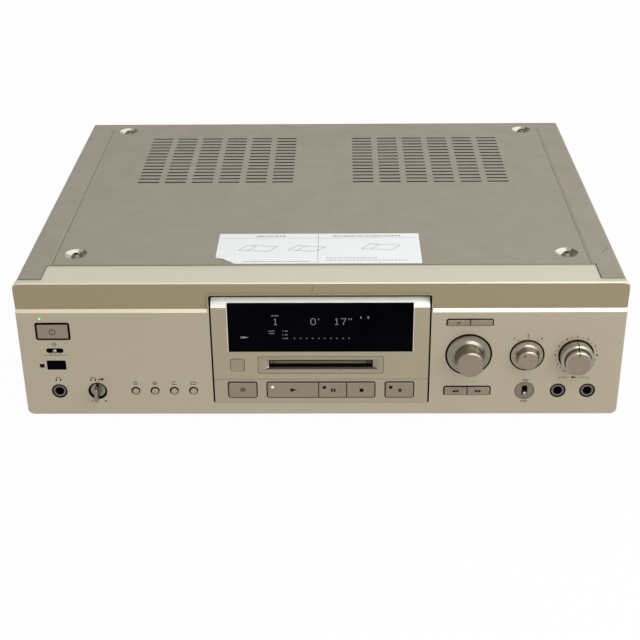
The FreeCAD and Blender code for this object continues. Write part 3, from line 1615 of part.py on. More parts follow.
def drive_base():
    """Pressed tray of the drive: floor, two tall sides with upright pin slots, and bearings."""
    piece = Piece("drive_base")
    sheet = dim.drive_sheet
    section = piece.sketch("front", drive_near)
    wall_top = holder_roof + dim.drive_wall
    outline(section, [
        (-drive_half, drive_floor), (drive_half, drive_floor), (drive_half, wall_top),
        (drive_half - sheet, wall_top), (drive_half - sheet, drive_floor + sheet),
        (sheet - drive_half, drive_floor + sheet), (sheet - drive_half, wall_top),
        (-drive_half, wall_top)])
    piece.pad(section, drive_far - drive_near)
    slots = piece.sketch("side", -drive_half - sheet)
    half = dim.pin_radius + dim.pin_play
    for y in pin_places():
        box_outline(slots, y - half, y + half, pin_level - half - dim.holder_travel,
                    pin_level + half)
    piece.pocket(slots, drive_half * 2 + sheet * 4, reverse=True)
    blocks = piece.sketch("floor", drive_floor + sheet / 2)
    for x in (-rod_x, rod_x, screw_x):
        half = dim.bearing_half
        for y in (rod_near - dim.bearing_thick, rod_far):
            box_outline(blocks, x - half, x + half, y, y + dim.bearing_thick)
    piece.pad(blocks, sheet / 2 + dim.rod_rise + dim.bearing_half)
    bores = piece.sketch("front", rod_near - dim.bearing_thick)
    for x in (-rod_x, rod_x):
        circle(bores, x, rod_level, dim.rod_radius)
    circle(bores, screw_x, rod_level, dim.screw_radius + dim.hinge_play)
    piece.pocket(bores, rod_far - rod_near + dim.bearing_thick * 2)


rod_x = dim.rod_half_pitch
screw_x = dim.rod_half_pitch + dim.screw_offset
rod_near = sled_near - dim.sled_clear


def pin_places():
    """Where the holder's guide pins stand, front and back."""
    return (holder_near + dim.pin_inset, holder_far - dim.pin_inset)


def drive_mounts():
    """Where the drive stands on the chassis."""
    return [(x, y) for x in (dim.mount_inset - drive_half, drive_half - dim.mount_inset)
            for y in (drive_near + dim.mount_inset, drive_far - dim.mount_inset)]


def drive_parts():
    drive_base()
    cartridge_holder()
    spindle()
    rods = [rod(x, rod_near - dim.bearing_thick, rod_level, dim.rod_radius,
                rod_far - rod_near + dim.bearing_thick * 2) for x in (-rod_x, rod_x)]
    keep(group(rods), "guide_rods")
    sled()
    lead_screw()
    head_arm()


def cartridge_holder():
    """Sheet cradle that takes the disc and lowers it: floor with a window, sides and top lips."""
    piece = Piece("cartridge_holder")
    sheet = dim.holder_sheet
    lip = dim.holder_lip
    section = piece.sketch("front", holder_near)
    outline(section, [
        (-holder_half, holder_floor), (holder_half, holder_floor), (holder_half, holder_roof + sheet),
        (holder_half - lip, holder_roof + sheet), (holder_half - lip, holder_roof),
        (holder_half - sheet, holder_roof), (holder_half - sheet, holder_floor + sheet),
        (sheet - holder_half, holder_floor + sheet), (sheet - holder_half, holder_roof),
        (lip - holder_half, holder_roof), (lip - holder_half, holder_roof + sheet),
        (-holder_half, holder_roof + sheet)])
    piece.pad(section, holder_far - holder_near)
    stop = piece.sketch("front", holder_far - sheet)
    for side in (-1, 1):
        inner = dim.stop_inner * side
        outer = holder_half * side
        left, right = (inner, outer) if side > 0 else (outer, inner)
        box_outline(stop, left, right, holder_floor, holder_roof + sheet)
    piece.pad(stop, sheet)
    window = piece.sketch("floor", holder_floor + sheet)
    round_box(window, -dim.head_window_half, dim.head_window_half, disc_y - dim.head_window_half,
              holder_far + sheet * 2, dim.rod_radius)
    piece.pocket(window, sheet * 2)
    for side in (-1, 1):
        pins = piece.sketch("side", (holder_half - sheet / 2) * side)
        for y in pin_places():
            circle(pins, y, pin_level, dim.pin_radius)
        piece.pad(pins, drive_half - holder_half + sheet / 2 + dim.pin_play, reverse=side < 0)


def spindle():
    """Spindle motor on the drive floor, and the turntable that its bore carries."""
    low = drive_floor + dim.drive_sheet
    motor_top = turntable_top - dim.table_rise - dim.table_thick - dim.lever_play
    bore = dim.spindle_radius + dim.hinge_play
    motor = turned("Motor", "z", 0, disc_y, 0, [
        (low, bore), (low, dim.motor_radius), (motor_top, dim.motor_radius), (motor_top, bore)],
        kept=False)
    motors.append(motor.body)
    turned("turntable", "z", 0, disc_y, 0, [
        (low + dim.lever_play, 0), (low + dim.lever_play, dim.spindle_radius),
        (motor_top + dim.lever_play, dim.spindle_radius),
        (motor_top + dim.lever_play, dim.table_radius),
        (motor_top + dim.lever_play + dim.table_thick, dim.table_radius),
        (motor_top + dim.lever_play + dim.table_thick, dim.hub_radius),
        (turntable_top, dim.hub_radius), (turntable_top, 0)])


def sled():
    """Pickup sled on two rods: an optical block, a lens, and the post of the head arm."""
    piece = Piece("pickup_sled")
    half = rod_x + dim.bearing_half
    low = rod_level - dim.sled_rise
    high = rod_level + dim.sled_rise
    body = piece.sketch("floor", low)
    box_outline(body, -half, half, sled_near, sled_far)
    piece.pad(body, high - low)
    # The follower reaches over the lead screw, beside the sled's body.
    follower = piece.sketch("floor", rod_level + dim.screw_radius + dim.follower_gap)
    middle = (sled_near + sled_far) / 2
    box_outline(follower, half - dim.sheet, screw_x + dim.screw_radius,
                middle - dim.follower_length / 2, middle + dim.follower_length / 2)
    piece.pad(follower, dim.follower_thick)
    beam = piece.sketch("floor", low)
    box_outline(beam, -dim.post_half, dim.post_half, sled_far - dim.sheet, arm_far)
    piece.pad(beam, dim.sled_rise)
    post = piece.sketch("floor", low)
    box_outline(post, -dim.post_half, dim.post_half, arm_near, arm_far)
    piece.pad(post, arm_axis_z - low - dim.arm_barrel - dim.lever_play)
    cheeks = piece.sketch("floor", low)
    for side in (-1, 1):
        inner = (dim.post_half - dim.cheek) * side
        outer = dim.post_half * side
        left, right = (inner, outer) if side > 0 else (outer, inner)
        box_outline(cheeks, left, right, arm_near, arm_far)
    piece.pad(cheeks, arm_axis_z - low + dim.arm_barrel)
    lens = piece.sketch("floor", high)
    circle(lens, 0, sled_near + dim.lens_radius + dim.sheet, dim.lens_radius)
    piece.pad(lens, dim.lens_rise)
    bores = piece.sketch("front", sled_near - dim.sled_clear)
    for x in (-rod_x, rod_x):
        circle(bores, x, rod_level, dim.rod_radius + dim.hinge_play)
    piece.pocket(bores, dim.sled_length + dim.sled_clear * 2)
    eyes = piece.sketch("side", -dim.post_half * 2)
    circle(eyes, arm_axis_y, arm_axis_z, dim.pin_radius / 2 + dim.hinge_play)
    piece.pocket(eyes, dim.post_half * 4, reverse=True)


arm_axis_y = (arm_near + arm_far) / 2
arm_axis_z = holder_roof + dim.arm_rise


def lead_screw():
    """Lead screw in its two bearings, and the motor that turns it."""
    near = rod_near - dim.bearing_thick
    keep(rod(screw_x, near, rod_level, dim.screw_radius,
             rod_far - rod_near + dim.bearing_thick * 2 + dim.sled_clear), "lead_screw")
    motor_near = rod_far + dim.bearing_thick + dim.sled_clear * 2
    motors.append(rod(screw_x, motor_near, rod_level, dim.sled_motor_radius,
                      dim.sled_motor_length - dim.sled_clear * 2))
    keep(group(motors), "drive_motors")


def head_arm():
    """Arm of the magnetic head: a barrel on the sled's post, a tapering blade and the head."""
    piece = Piece("head_arm", 0, arm_axis_y, arm_axis_z)
    inner = dim.post_half - dim.cheek - dim.lever_play
    barrel = piece.sketch("side", -inner)
    circle(barrel, 0, 0, dim.arm_barrel)
    piece.pad(barrel, inner * 2)
    pin = piece.sketch("side", -dim.post_half)
    circle(pin, 0, 0, dim.pin_radius / 2)
    piece.pad(pin, dim.post_half * 2)
    reach = arm_axis_y - sled_near - dim.lens_radius - dim.sheet
    blade = piece.sketch("floor", -dim.sheet / 2)
    outline(blade, [(-inner, 0), (-dim.head_half, -reach - dim.head_half),
                    (dim.head_half, -reach - dim.head_half), (inner, 0)])
    piece.pad(blade, dim.sheet)
    head = piece.sketch("floor", -dim.head_drop)
    box_outline(head, -dim.head_half, dim.head_half, -reach - dim.head_half, dim.head_half - reach)
    piece.pad(head, dim.head_drop)


# ---------------------------------------------------------------- the whole deck

def build():
    front_panel()
    display_bezel()
    transport_panel()
    display_window()
    slot_bezel()
    slot_flap()
    top_cover()
    cover_screws()
    bottom_chassis()
    rear_panel()
    feet()
    front_frame()
    keys()
    front_board()
    lights()
    timer_switch()
    mic_switch()
    remote_window()
    sockets()
    knobs()
    display_tube()
    rear_sockets()
    transformer()
    boards()
    drive_parts()


def check_and_write():
    doc.recompute()
    for item in doc.Objects:
        faults = [state for state in item.State if state in ("Invalid", "Error")]
        if faults:
            raise RuntimeError(f"{item.Label} is {faults}")
    os.makedirs("parts", exist_ok=True)
    for item in sub_parts:
        if item.Shape.isNull() or not item.Shape.isValid():
            raise RuntimeError(f"{item.Label} has no sound shape")
        item.Shape.exportStep(f"parts/{item.Label}.step")
    print(f"{len(sub_parts)} sub-parts written")


build()
check_and_write()
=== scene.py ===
"""Looks of the slot-loading minidisc deck: finishes, printed marks, display, label and studio.

Deck coordinates, as in part.py: millimetres, x from the middle to the right, y back from the face
of the front panel, z up from the panel's lower edge.  at() turns them into metres in the frame.
"""
import bmesh
import bpy
import math
import random
from mathutils import Matrix, Vector


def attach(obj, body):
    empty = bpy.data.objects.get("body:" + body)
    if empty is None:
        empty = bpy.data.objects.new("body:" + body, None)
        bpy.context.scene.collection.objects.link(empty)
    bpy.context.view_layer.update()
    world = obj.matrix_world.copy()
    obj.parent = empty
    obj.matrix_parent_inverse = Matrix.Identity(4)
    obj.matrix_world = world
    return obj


FRONT = -161.6  # y of the panel's face in the shared frame
BASE = 17.0  # z of the panel's lower edge in the shared frame
PRINT_LIFT = 0.03  # from a face to a mark that is printed on it
SLACK = 0.1  # for telling a face by its place

# levels of y at the front
KEY_FACE = -0.8
KEY_BACK = 5.5  # the keys' collars lie behind it
PANEL_BACK = 6.5  # the panel's openings lie before it
SOCKET_FACE = 0.2
# the rings of painted shade round the sockets lie at this level
SOCKET_SHADE = 0.15  # just before the sockets' faces
WINDOW_FACE = 0.3
FUNNEL_DEPTH = 1.5
JOG_FACE = -15.8
INPUT_FACE = -9.1
LEVEL_FACE = -13.4
RING_FACE = -8.8

# outlines at the front
PANEL_SIDE = 212.0
PANEL_FOOT = 3.0
PANEL_HEAD = 97.6
FLANGE = 105.0
LEDGES = (83.0, 87.0)
STRIP_TOP = 106.0
STRIP_HEIGHT = 20.1
STRIP_LEAN = 2.1
POD_HALF = 78.6  # half the width of the opening for the centre piece
POD_RIM = 79.6  # the same with the rim round it
POD_RIM_FOOT = 84.0
POD_HEAD = 96.9
POD_FLOOR = 10.5
POD_FLOOR_HALF = 77.0
THROAT = (37.3, 38.8, 44.7)  # half the slot's width, its foot and its top
FUNNEL_SIDE = 4.2

# axes and lights at the front: x and z, or x alone where SOCKET_LEVEL is the z
PLAY_LIGHT = (-34.9, 23.2)
POWER_LIGHT = (-198.4, 79.2)
JOG = (105.5, 49.7)
INPUT = (147.0, 49.1)
LEVEL = (181.9, 49.1)
SOCKET_LEVEL = 20.0
PHONES = -190.0
MICS = (171.0, 192.2)
PHONE_LEVEL = -162.2
MIC_SWITCH = 147.0
ROUND_KEYS = (-134.4, -120.4, -106.4, -92.4)

# cover, boards and back
COVER_TOP = 108.0
CREASES = (189.0, 196.0)
DISH_COLUMN = 178.0
DISH_ROWS = (47.0, 312.0)
DISH_REACH = 8.5
DISH_DEPTH = 3.0
VENTS_ACROSS = (20.0, 160.0)
VENTS_ALONG = (183.0, 294.0)
BOARD_TOP = 11.5
REAR_FACE = 330.0
MOULDING_FACE = 331.2
BARREL_END = 339.0
BARREL_RADIUS = 4.3
PHONO_COLUMNS = (65.0, 87.0, 109.0)
PHONO_ROWS = (32.0, 48.0)
INLET = (-170.0, 32.0)
BLADES = (8.5, 4.5, 312.2)  # half their width, half their height, and the level they start at

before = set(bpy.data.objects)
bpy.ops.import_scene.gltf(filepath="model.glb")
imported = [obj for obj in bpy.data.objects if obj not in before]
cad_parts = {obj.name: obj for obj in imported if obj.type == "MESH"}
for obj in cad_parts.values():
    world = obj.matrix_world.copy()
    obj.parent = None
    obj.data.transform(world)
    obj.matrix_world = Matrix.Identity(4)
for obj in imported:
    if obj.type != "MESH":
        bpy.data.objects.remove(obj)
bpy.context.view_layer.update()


def at(x, y, z):
    """A deck point in the shared frame, in metres."""
    return Vector((x, y + FRONT, z + BASE)) / 1000


# ------------ materials

NOISE_RANGE = (0.35, 0.65)  # where most of a noise texture's values lie
COAT_ROUGHNESS = 0.12
UNLIT = (40, 44, 44)  # a lit mark's own colour


def linear(colour):
    """An sRGB colour of 0 to 255 as the linear RGBA that shader sockets take."""
    steps = [c / 255 for c in colour]
    return [c / 12.92 if c <= 0.04045 else ((c + 0.055) / 1.055) ** 2.4 for c in steps] + [1.0]


def shade(colour, factor, add=0):
    """A colour times a factor, plus a step, and no more than white."""
    return [min(255, c * factor + add) for c in colour]


def preset(node, values):
    """Sets a shader node's inputs."""
    for socket, value in values.items():
        node.inputs[socket].default_value = value


class Finish:
    """A Principled material whose colour, roughness and relief come from noise on its surface."""

    def __init__(self, name, colour, rough=0.45, metal=0.0, coat=0.0, gloss=0.5):
        self.material = bpy.data.materials.new(name)
        self.material.use_nodes = True
        self.nodes = self.material.node_tree.nodes
        self.links = self.material.node_tree.links
        self.shader = self.nodes["Principled BSDF"]
        self.colour = colour
        self.rough = rough
        self.relief = None
        preset(self.shader, {"Base Color": linear(colour), "Roughness": rough, "Metallic": metal,
                             "Specular IOR Level": gloss, "Coat Weight": coat,
                             "Coat Roughness": COAT_ROUGHNESS})

    def node(self, kind, **settings):
        """A new shader node with these settings."""
        made = self.nodes.new(kind)
        for key, value in settings.items():
            setattr(made, key, value)
        return made

    def noise(self, per_metre, detail=3.0, stretch=(1, 1, 1)):
        """Noise in object space; stretch scales it per axis, so brushing runs along a small one."""
        place = self.node("ShaderNodeTexCoord")
        mapping = self.node("ShaderNodeMapping")
        texture = self.node("ShaderNodeTexNoise")
        preset(mapping, {"Scale": [per_metre * s for s in stretch]})
        preset(texture, {"Scale": 1.0, "Detail": detail})
        self.links.new(place.outputs["Object"], mapping.inputs["Vector"])
        self.links.new(mapping.outputs["Vector"], texture.inputs["Vector"])
        return texture.outputs["Fac"]

    def ramp(self, value, low, high):
        """A noise value drawn out to the range from low to high."""
        scaled = self.node("ShaderNodeMapRange")
        preset(scaled, {"From Min": NOISE_RANGE[0], "From Max": NOISE_RANGE[1],
                        "To Min": low, "To Max": high})
        self.links.new(value, scaled.inputs["Value"])
        return scaled.outputs["Result"]

    def tint(self, value, other, share):
        """Mixes another colour into the base, as far as share where value is one."""
        mix = self.node("ShaderNodeMix", data_type="RGBA")
        socket = self.shader.inputs["Base Color"]
        if socket.is_linked:
            self.links.new(socket.links[0].from_socket, mix.inputs["A"])
        else:
            mix.inputs["A"].default_value = linear(self.colour)
        mix.inputs["B"].default_value = linear(other)
        self.links.new(self.ramp(value, 0.0, share), mix.inputs["Factor"])
        self.links.new(mix.outputs["Result"], socket)
        return self

    def vary_rough(self, value, spread):
        """Lets the roughness wander by as much as spread to either side."""
        low = max(0.02, self.rough - spread)
        high = min(1.0, self.rough + spread)
        self.links.new(self.ramp(value, low, high), self.shader.inputs["Roughness"])
        return self

    def bump(self, value, millimetres):
        """Relief of that height from value, on top of any relief already there."""
        bump = self.node("ShaderNodeBump")
        preset(bump, {"Strength": 1.0, "Distance": millimetres / 1000})
        self.links.new(value, bump.inputs["Height"])
        if self.relief is not None:
            self.links.new(self.relief, bump.inputs["Normal"])
        self.relief = bump.outputs["Normal"]
        self.links.new(self.relief, self.shader.inputs["Normal"])
        return self

    def rounded(self, millimetres):
        """Softens the look of sharp edges; comes before any bump."""
        bevel = self.node("ShaderNodeBevel", samples=6)
        preset(bevel, {"Radius": millimetres / 1000})
        self.relief = bevel.outputs["Normal"]
        self.links.new(self.relief, self.shader.inputs["Normal"])
        return self

    def rings(self, x, z, per_metre):
        """The sine of the distance from a knob's axis, which gives rings about it."""
        centre = at(x, 0, z)
        value = self.node("ShaderNodeTexCoord").outputs["Object"]
        for kind, operation, operand in (
                ("ShaderNodeVectorMath", "SUBTRACT", (centre.x, 0, centre.z)),
                ("ShaderNodeVectorMath", "MULTIPLY", (1, 0, 1)),
                ("ShaderNodeVectorMath", "LENGTH", None),
                ("ShaderNodeMath", "MULTIPLY", per_metre),
                ("ShaderNodeMath", "SINE", None)):
            step = self.node(kind, operation=operation)
            if operand is not None:
                preset(step, {1: operand})
            self.links.new(value, step.inputs[0])
            value = step.outputs["Value" if operation == "LENGTH" else 0]
        return value


def painted(name, colour, rough=0.5, metal=0.15):
    """Sprayed sheet steel: a fine orange peel, faint clouding and a little dust."""
    finish = Finish(name, colour, rough, metal, gloss=0.3).rounded(0.3)
    finish.tint(finish.noise(9), shade(colour, 0.95), 0.25)
    finish.tint(finish.noise(900), shade(colour, 1.04), 0.6)
    finish.vary_rough(finish.noise(60), 0.06)
    return finish.bump(finish.noise(2600, 2), 0.01).material


def brushed(name, colour, rough=0.4, metal=0.45):
    """Satin anodised aluminium with a very fine grain along the panel."""
    finish = Finish(name, colour, rough, metal).rounded(0.2)
    grain = finish.noise(5200, 2, (0.05, 1, 1))
    finish.tint(finish.noise(7), shade(colour, 0.97), 0.5).tint(grain, shade(colour, 1.03), 0.5)
    finish.vary_rough(finish.noise(45), 0.03)
    return finish.bump(grain, 0.0015).material


def turned(name, colour, x, z):
    """Lathe-turned aluminium with rings about a knob's axis."""
    finish = Finish(name, colour, 0.31, metal=1.0).rounded(0.12)
    finish.tint(finish.noise(160, 2), shade(colour, 0.96), 0.6)
    finish.vary_rough(finish.rings(x, z, 9000), 0.02)
    return finish.bump(finish.rings(x, z, 24000), 0.0004).material


def moulded(name, colour, rough=0.5, grain=0.004, gloss=0.5):
    """Moulded plastic with a fine spark texture."""
    finish = Finish(name, colour, rough, gloss=gloss).rounded(0.15)
    finish.tint(finish.noise(400), shade(colour, 1.03, 2), 0.6)
    finish.vary_rough(finish.noise(150), 0.05)
    return finish.bump(finish.noise(3200, 2), grain).material


def plated(name, colour, rough=0.3):
    """Zinc-plated or nickel-plated steel with soft spangle."""
    finish = Finish(name, colour, rough, metal=1.0).rounded(0.15)
    finish.tint(finish.noise(120, 4), shade(colour, 0.86), 0.8)
    finish.vary_rough(finish.noise(300), 0.08)
    return finish.bump(finish.noise(900, 2), 0.003).material


def glossy_black(name, colour, rough=0.08, gloss=0.03):
    """Smoked acrylic: nearly black, with faint depth and a few specks of dust."""
    finish = Finish(name, colour, rough, gloss=gloss)
    finish.tint(finish.noise(25), shade(colour, 1, 4), 1.0)
    return finish.vary_rough(finish.noise(90), 0.03).material


def lit(name, colour, strength):
    """A lamp or a lit display mark, which glows unevenly, as phosphor does."""
    finish = Finish(name, UNLIT, 0.3)
    glow = finish.ramp(finish.noise(2500, 1), strength * 0.85, strength * 1.1)
    preset(finish.shader, {"Emission Color": linear(colour)})
    finish.links.new(glow, finish.shader.inputs["Emission Strength"])
    return finish.material


def board(name, colour):
    """Solder-masked circuit board with faint tracks under the mask."""
    finish = Finish(name, colour, 0.35, coat=0.3)
    tracks = finish.noise(420, 0, (1, 0.15, 1))
    return finish.tint(tracks, shade(colour, 1.35, 6), 0.9).bump(tracks, 0.01).material


panel_gold = brushed("panel_gold", (175, 164, 143))
# painted shade: a darker copy of the panel's metal for the strip that leans forward
strip_shade = brushed("strip_shade", (152, 139, 110))
# painted light: a lighter copy of the panel's metal for its top flange
flange_lit = brushed("flange_lit", (212, 205, 187), 0.5, 0.4)
# painted highlight on the two ledges under the leaning strip
ledge_highlight = brushed("ledge_highlight", (213, 204, 180), 0.35, 0.6)
# painted highlight, near white: on the bevels, along the window's sides and at the funnel's corner,
# and as painted light on the underside above the centre piece's bevel
painted_highlight = brushed("painted_highlight", (228, 228, 222), 0.5, 0.35)
pod_gold = brushed("pod_gold", (163, 152, 129))
badge_metal = brushed("badge_metal", (150, 140, 118), 0.45, 0.5)
cover_gold = painted("cover_gold", (153, 147, 131))
# painted shade in the cover's creases
crease_shade = painted("crease_shade", (112, 104, 88), 0.45)
key_gold = moulded("key_gold", (132, 122, 104), 0.42, 0.003)
power_gold = moulded("power_gold", (136, 123, 107), 0.42, 0.003)
round_gold = moulded("round_gold", (158, 147, 127), 0.42, 0.003)
knob_face = moulded("knob_face", (133, 119, 104), 0.45, 0.002)
plate_gold = brushed("plate_gold", (124, 114, 98), 0.4, 0.5)
bezel_gold = moulded("bezel_gold", (148, 137, 116), 0.4, 0.003)
funnel_gold = brushed("funnel_gold", (150, 140, 120), 0.25, 0.8)
# painted shade on the slot's lower funnel wall
funnel_floor_shade = brushed("funnel_floor_shade", (50, 46, 39), 0.4, 0.0)
black_plastic = moulded("black_plastic", (12, 11, 11), 0.5, gloss=0.2)
# painted shade: near black on the walls of openings, keys and plates, where the gaps are in shade
gap_shade = moulded("gap_shade", (20, 14, 6), 0.7, gloss=0.03)
flap_olive = moulded("flap_olive", (156, 146, 122), 0.35, 0.003)
ring_grey = moulded("ring_grey", (98, 90, 84), 0.35, 0.003)
black_gloss = glossy_black("black_gloss", (2, 1, 4), gloss=0.01)
clear_dark = glossy_black("clear_dark", (14, 10, 9), 0.15, 0.1)
tube_glass = glossy_black("tube_glass", (22, 30, 30), 0.05, 0.3)
zinc_steel = plated("zinc_steel", (176, 174, 164), 0.4)
# black paint on the frame behind the panel, which also stands in for the shade seen through the
# panel's gaps
dark_steel = painted("dark_steel", (11, 10, 9), 0.7, 0.0)
bright_steel = plated("bright_steel", (214, 210, 200), 0.22)
screw_steel = plated("screw_steel", (150, 147, 136), 0.35)
cap_steel = plated("cap_steel", (112, 106, 92), 0.45)
dish_gold = painted("dish_gold", (168, 162, 147), 0.22, 0.95)
# painted highlight and painted shade on the dishes' walls, by the way each part leans
dish_highlight = painted("dish_highlight", (238, 235, 222), 0.22, 0.6)
dish_shade = painted("dish_shade", (90, 82, 64), 0.3, 0.6)
rear_black = painted("rear_black", (44, 43, 41), 0.5, 0.2)
# painted shade on the vents' cut edges
vent_shade = painted("vent_shade", (40, 33, 29), 0.7, 0.0)
foot_plastic = moulded("foot_plastic", (34, 32, 30), 0.5)
pad_rubber = moulded("pad_rubber", (22, 22, 22), 0.85, 0.02)
board_green = board("board_green", (22, 52, 30))
coil_tape = moulded("coil_tape", (186, 160, 70), 0.4)
core_steel = painted("core_steel", (52, 48, 44), 0.45, 0.4)
sink_black = painted("sink_black", (24, 24, 25), 0.45, 0.3)
sled_metal = plated("sled_metal", (150, 150, 152), 0.45)
green_light = lit("green_light", (96, 214, 60), 1.0)
pale_light = lit("pale_light", (226, 250, 210), 1.1)
warm_light = lit("warm_light", (255, 246, 196), 0.95)
display_light = lit("display_light", (160, 172, 178), 0.5)
faint_light = lit("faint_light", (128, 134, 138), 0.4)
# print on the panel and keys, and painted shade in the dark lines round keys, sockets and the
# slot's throat
ink_and_shade = moulded("ink_and_shade", (18, 14, 10), 0.7, 0.002, gloss=0.03)
# scratches and specks, and painted shade round the slot's frame and at the funnel's corner
grey_wear_and_shade = moulded("grey_wear_and_shade", (96, 88, 74), 0.6, 0.002, gloss=0.1)
record_red = moulded("record_red", (98, 36, 30), 0.7, 0.002, gloss=0.05)
paper = moulded("paper", (251, 255, 255), 0.75, 0.01)
print_grey = moulded("print_grey", (150, 154, 152), 0.8, 0.002)
print_dark = moulded("print_dark", (92, 94, 96), 0.8, 0.002)
chip_black = moulded("chip_black", (28, 28, 30), 0.5)
insulator_white = moulded("insulator_white", (222, 220, 212), 0.4)
insulator_red = moulded("insulator_red", (150, 34, 30), 0.4)


# ------------ finishes of the CAD nodes

def dress(node, material, *rules):
    """Gives a node its material, and another to the faces that a rule picks.

    A rule is (material, test); test takes a face's middle in deck millimetres and its normal.
    """
    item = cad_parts[node]
    item.data.materials.clear()
    item.data.materials.append(material)
    for other, test in rules:
        item.data.materials.append(other)
        slot = len(item.data.materials) - 1
        for face in item.data.polygons:
            middle = face.center * 1000 - Vector((0, FRONT, BASE))
            if test(middle, face.normal):
                face.material_index = slot


def between(value, limits):
    """Whether a value lies inside two limits."""
    return limits[0] < value < limits[1]


def faces_front(level):
    """A test for faces that look forward at a level of y."""
    return lambda middle, normal: normal.y < -0.9 and abs(middle.y - level) < 1.5 * SLACK


def behind(level):
    """A test for faces farther back than a level of y."""
    return lambda middle, _normal: middle.y > level


def above(level):
    """A test for faces higher than a level of z."""
    return lambda middle, _normal: middle.z > level


def around(x, z, radius, level=-math.inf):
    """A test for faces within a radius of an axis along y, and behind a level of y."""
    return lambda middle, _normal: (math.hypot(middle.x - x, middle.z - z) < radius
                                    and middle.y > level)


def cut_face(_middle, normal):
    """Faces that a bevel cuts at half a right angle, looking forward and up."""
    return normal.y < -0.5 and normal.z > 0.5


def ledge(middle, normal):
    """The two ledges under the leaning strip, which get a near-white painted highlight."""
    outside = abs(middle.x) > POD_HALF - SLACK
    return cut_face(middle, normal) and between(middle.z, LEDGES) and outside


def leaning(middle, normal):
    """The strip that leans forward towards its top, with the narrow rim round the centre piece;
    both get a darker copy of the panel's metal as painted shade.
    """
    rim = middle.z > POD_RIM_FOOT and abs(middle.x) < POD_RIM and abs(middle.y) < SLACK
    return normal.y < -0.9 and (-0.4 < normal.z < -0.04 or rim)


def wall(_middle, normal):
    """Faces that run from front to back."""
    return abs(normal.y) < 0.2


def in_head(middle):
    """Whether a place is at the upper edge of the centre piece's opening."""
    return middle.z > POD_HEAD and abs(middle.x) < POD_HALF


def panel_wall(middle, normal):
    """Walls of the front panel's openings, without its outline and the centre piece's rim; they are
    painted near black as shade.
    """
    outline = (abs(middle.x) > PANEL_SIDE or middle.z < PANEL_FOOT or middle.z > PANEL_HEAD
               or middle.y > PANEL_BACK)
    rim = abs(middle.x) > POD_HALF + SLACK and middle.z > LEDGES[0]
    floor = middle.z < POD_FLOOR and abs(middle.x) < POD_FLOOR_HALF
    return wall(middle, normal) and not (outline or rim or floor or in_head(middle))


def pod_head(middle, normal):
    """The underside above the centre piece's bevel, painted near white as painted light that the
    bevel reflects.
    """
    return normal.z < -0.9 and in_head(middle) and middle.y < PANEL_BACK


def flange_top(middle, normal):
    """The flange along the panel's top, which gets a lighter copy of the panel's metal as painted
    light.
    """
    return normal.z > 0.5 and middle.z > FLANGE


def funnel(_middle, normal):
    """The slanted walls that lead into the disc slot."""
    return -0.9 < normal.y < -0.2


def funnel_low(middle, normal):
    """The lowest of those walls, which looks up and gets dark painted shade."""
    return funnel(middle, normal) and normal.z > 0.2


def crease(middle, normal):
    """The steep inner sides of the two long creases pressed into the cover, which get a darker copy
    of the paint as painted shade.
    """
    steep = between(normal.z, (0.5, 0.9))
    return steep and between(abs(middle.x), CREASES) and middle.z > COVER_TOP - 1


def dish(middle, normal):
    """The dishes that the cover's four screws sit in."""
    along = min(abs(middle.y - y) for y in DISH_ROWS) < DISH_REACH
    across = abs(abs(middle.x) - DISH_COLUMN) < DISH_REACH
    return along and across and middle.z > COVER_TOP - DISH_DEPTH and normal.z > 0.3


def dish_back(middle, normal):
    """The back left part of a dish's wall, which leans towards the lamp and gets a painted
    highlight.
    """
    return dish(middle, normal) and normal.y < -0.06 and normal.x > -0.05


def dish_right(middle, normal):
    """The right part of a dish's wall, in its own shade."""
    return dish(middle, normal) and normal.x < -0.2


def vent_wall(middle, normal):
    """Cut edges of the two fields of vents, painted dark as shade."""
    upright = abs(normal.z) < 0.4
    return upright and between(abs(middle.x), VENTS_ACROSS) and between(middle.y, VENTS_ALONG)


def inlet_blades(middle, _normal):
    """The contact blades in the mains inlet's hollow."""
    wide, high, start = BLADES
    x, z = INLET
    return abs(middle.x - x) < wide and abs(middle.z - z) < high and middle.y > start


PLAIN_FINISHES = {
    "display_window remote_window": black_gloss,
    "slot_flap": flap_olive,
    "cover_screws": cap_steel,
    "bottom_chassis drive_base cartridge_holder drive_motors head_arm": zinc_steel,
    "rear_panel": rear_black,
    "feet": foot_plastic,
    "foot_pads": pad_rubber,
    "front_frame": dark_steel,
    "front_board": board_green,
    "timer_lever mic_switch_lever": screw_steel,
    "slide_switches rotary_controls phone_level_well turntable": black_plastic,
    "jog_shaft guide_rods lead_screw": bright_steel,
    "display_tube": tube_glass,
    "transformer_core": core_steel,
    "transformer_coil": coil_tape,
    "heat_sink": sink_black,
    "pickup_sled": sled_metal,
}
KEY_FINISHES = {
    "eject play pause stop record no yes rewind forward": key_gold,
    "time mode repeat scroll": round_gold,
    "power": power_gold,
}


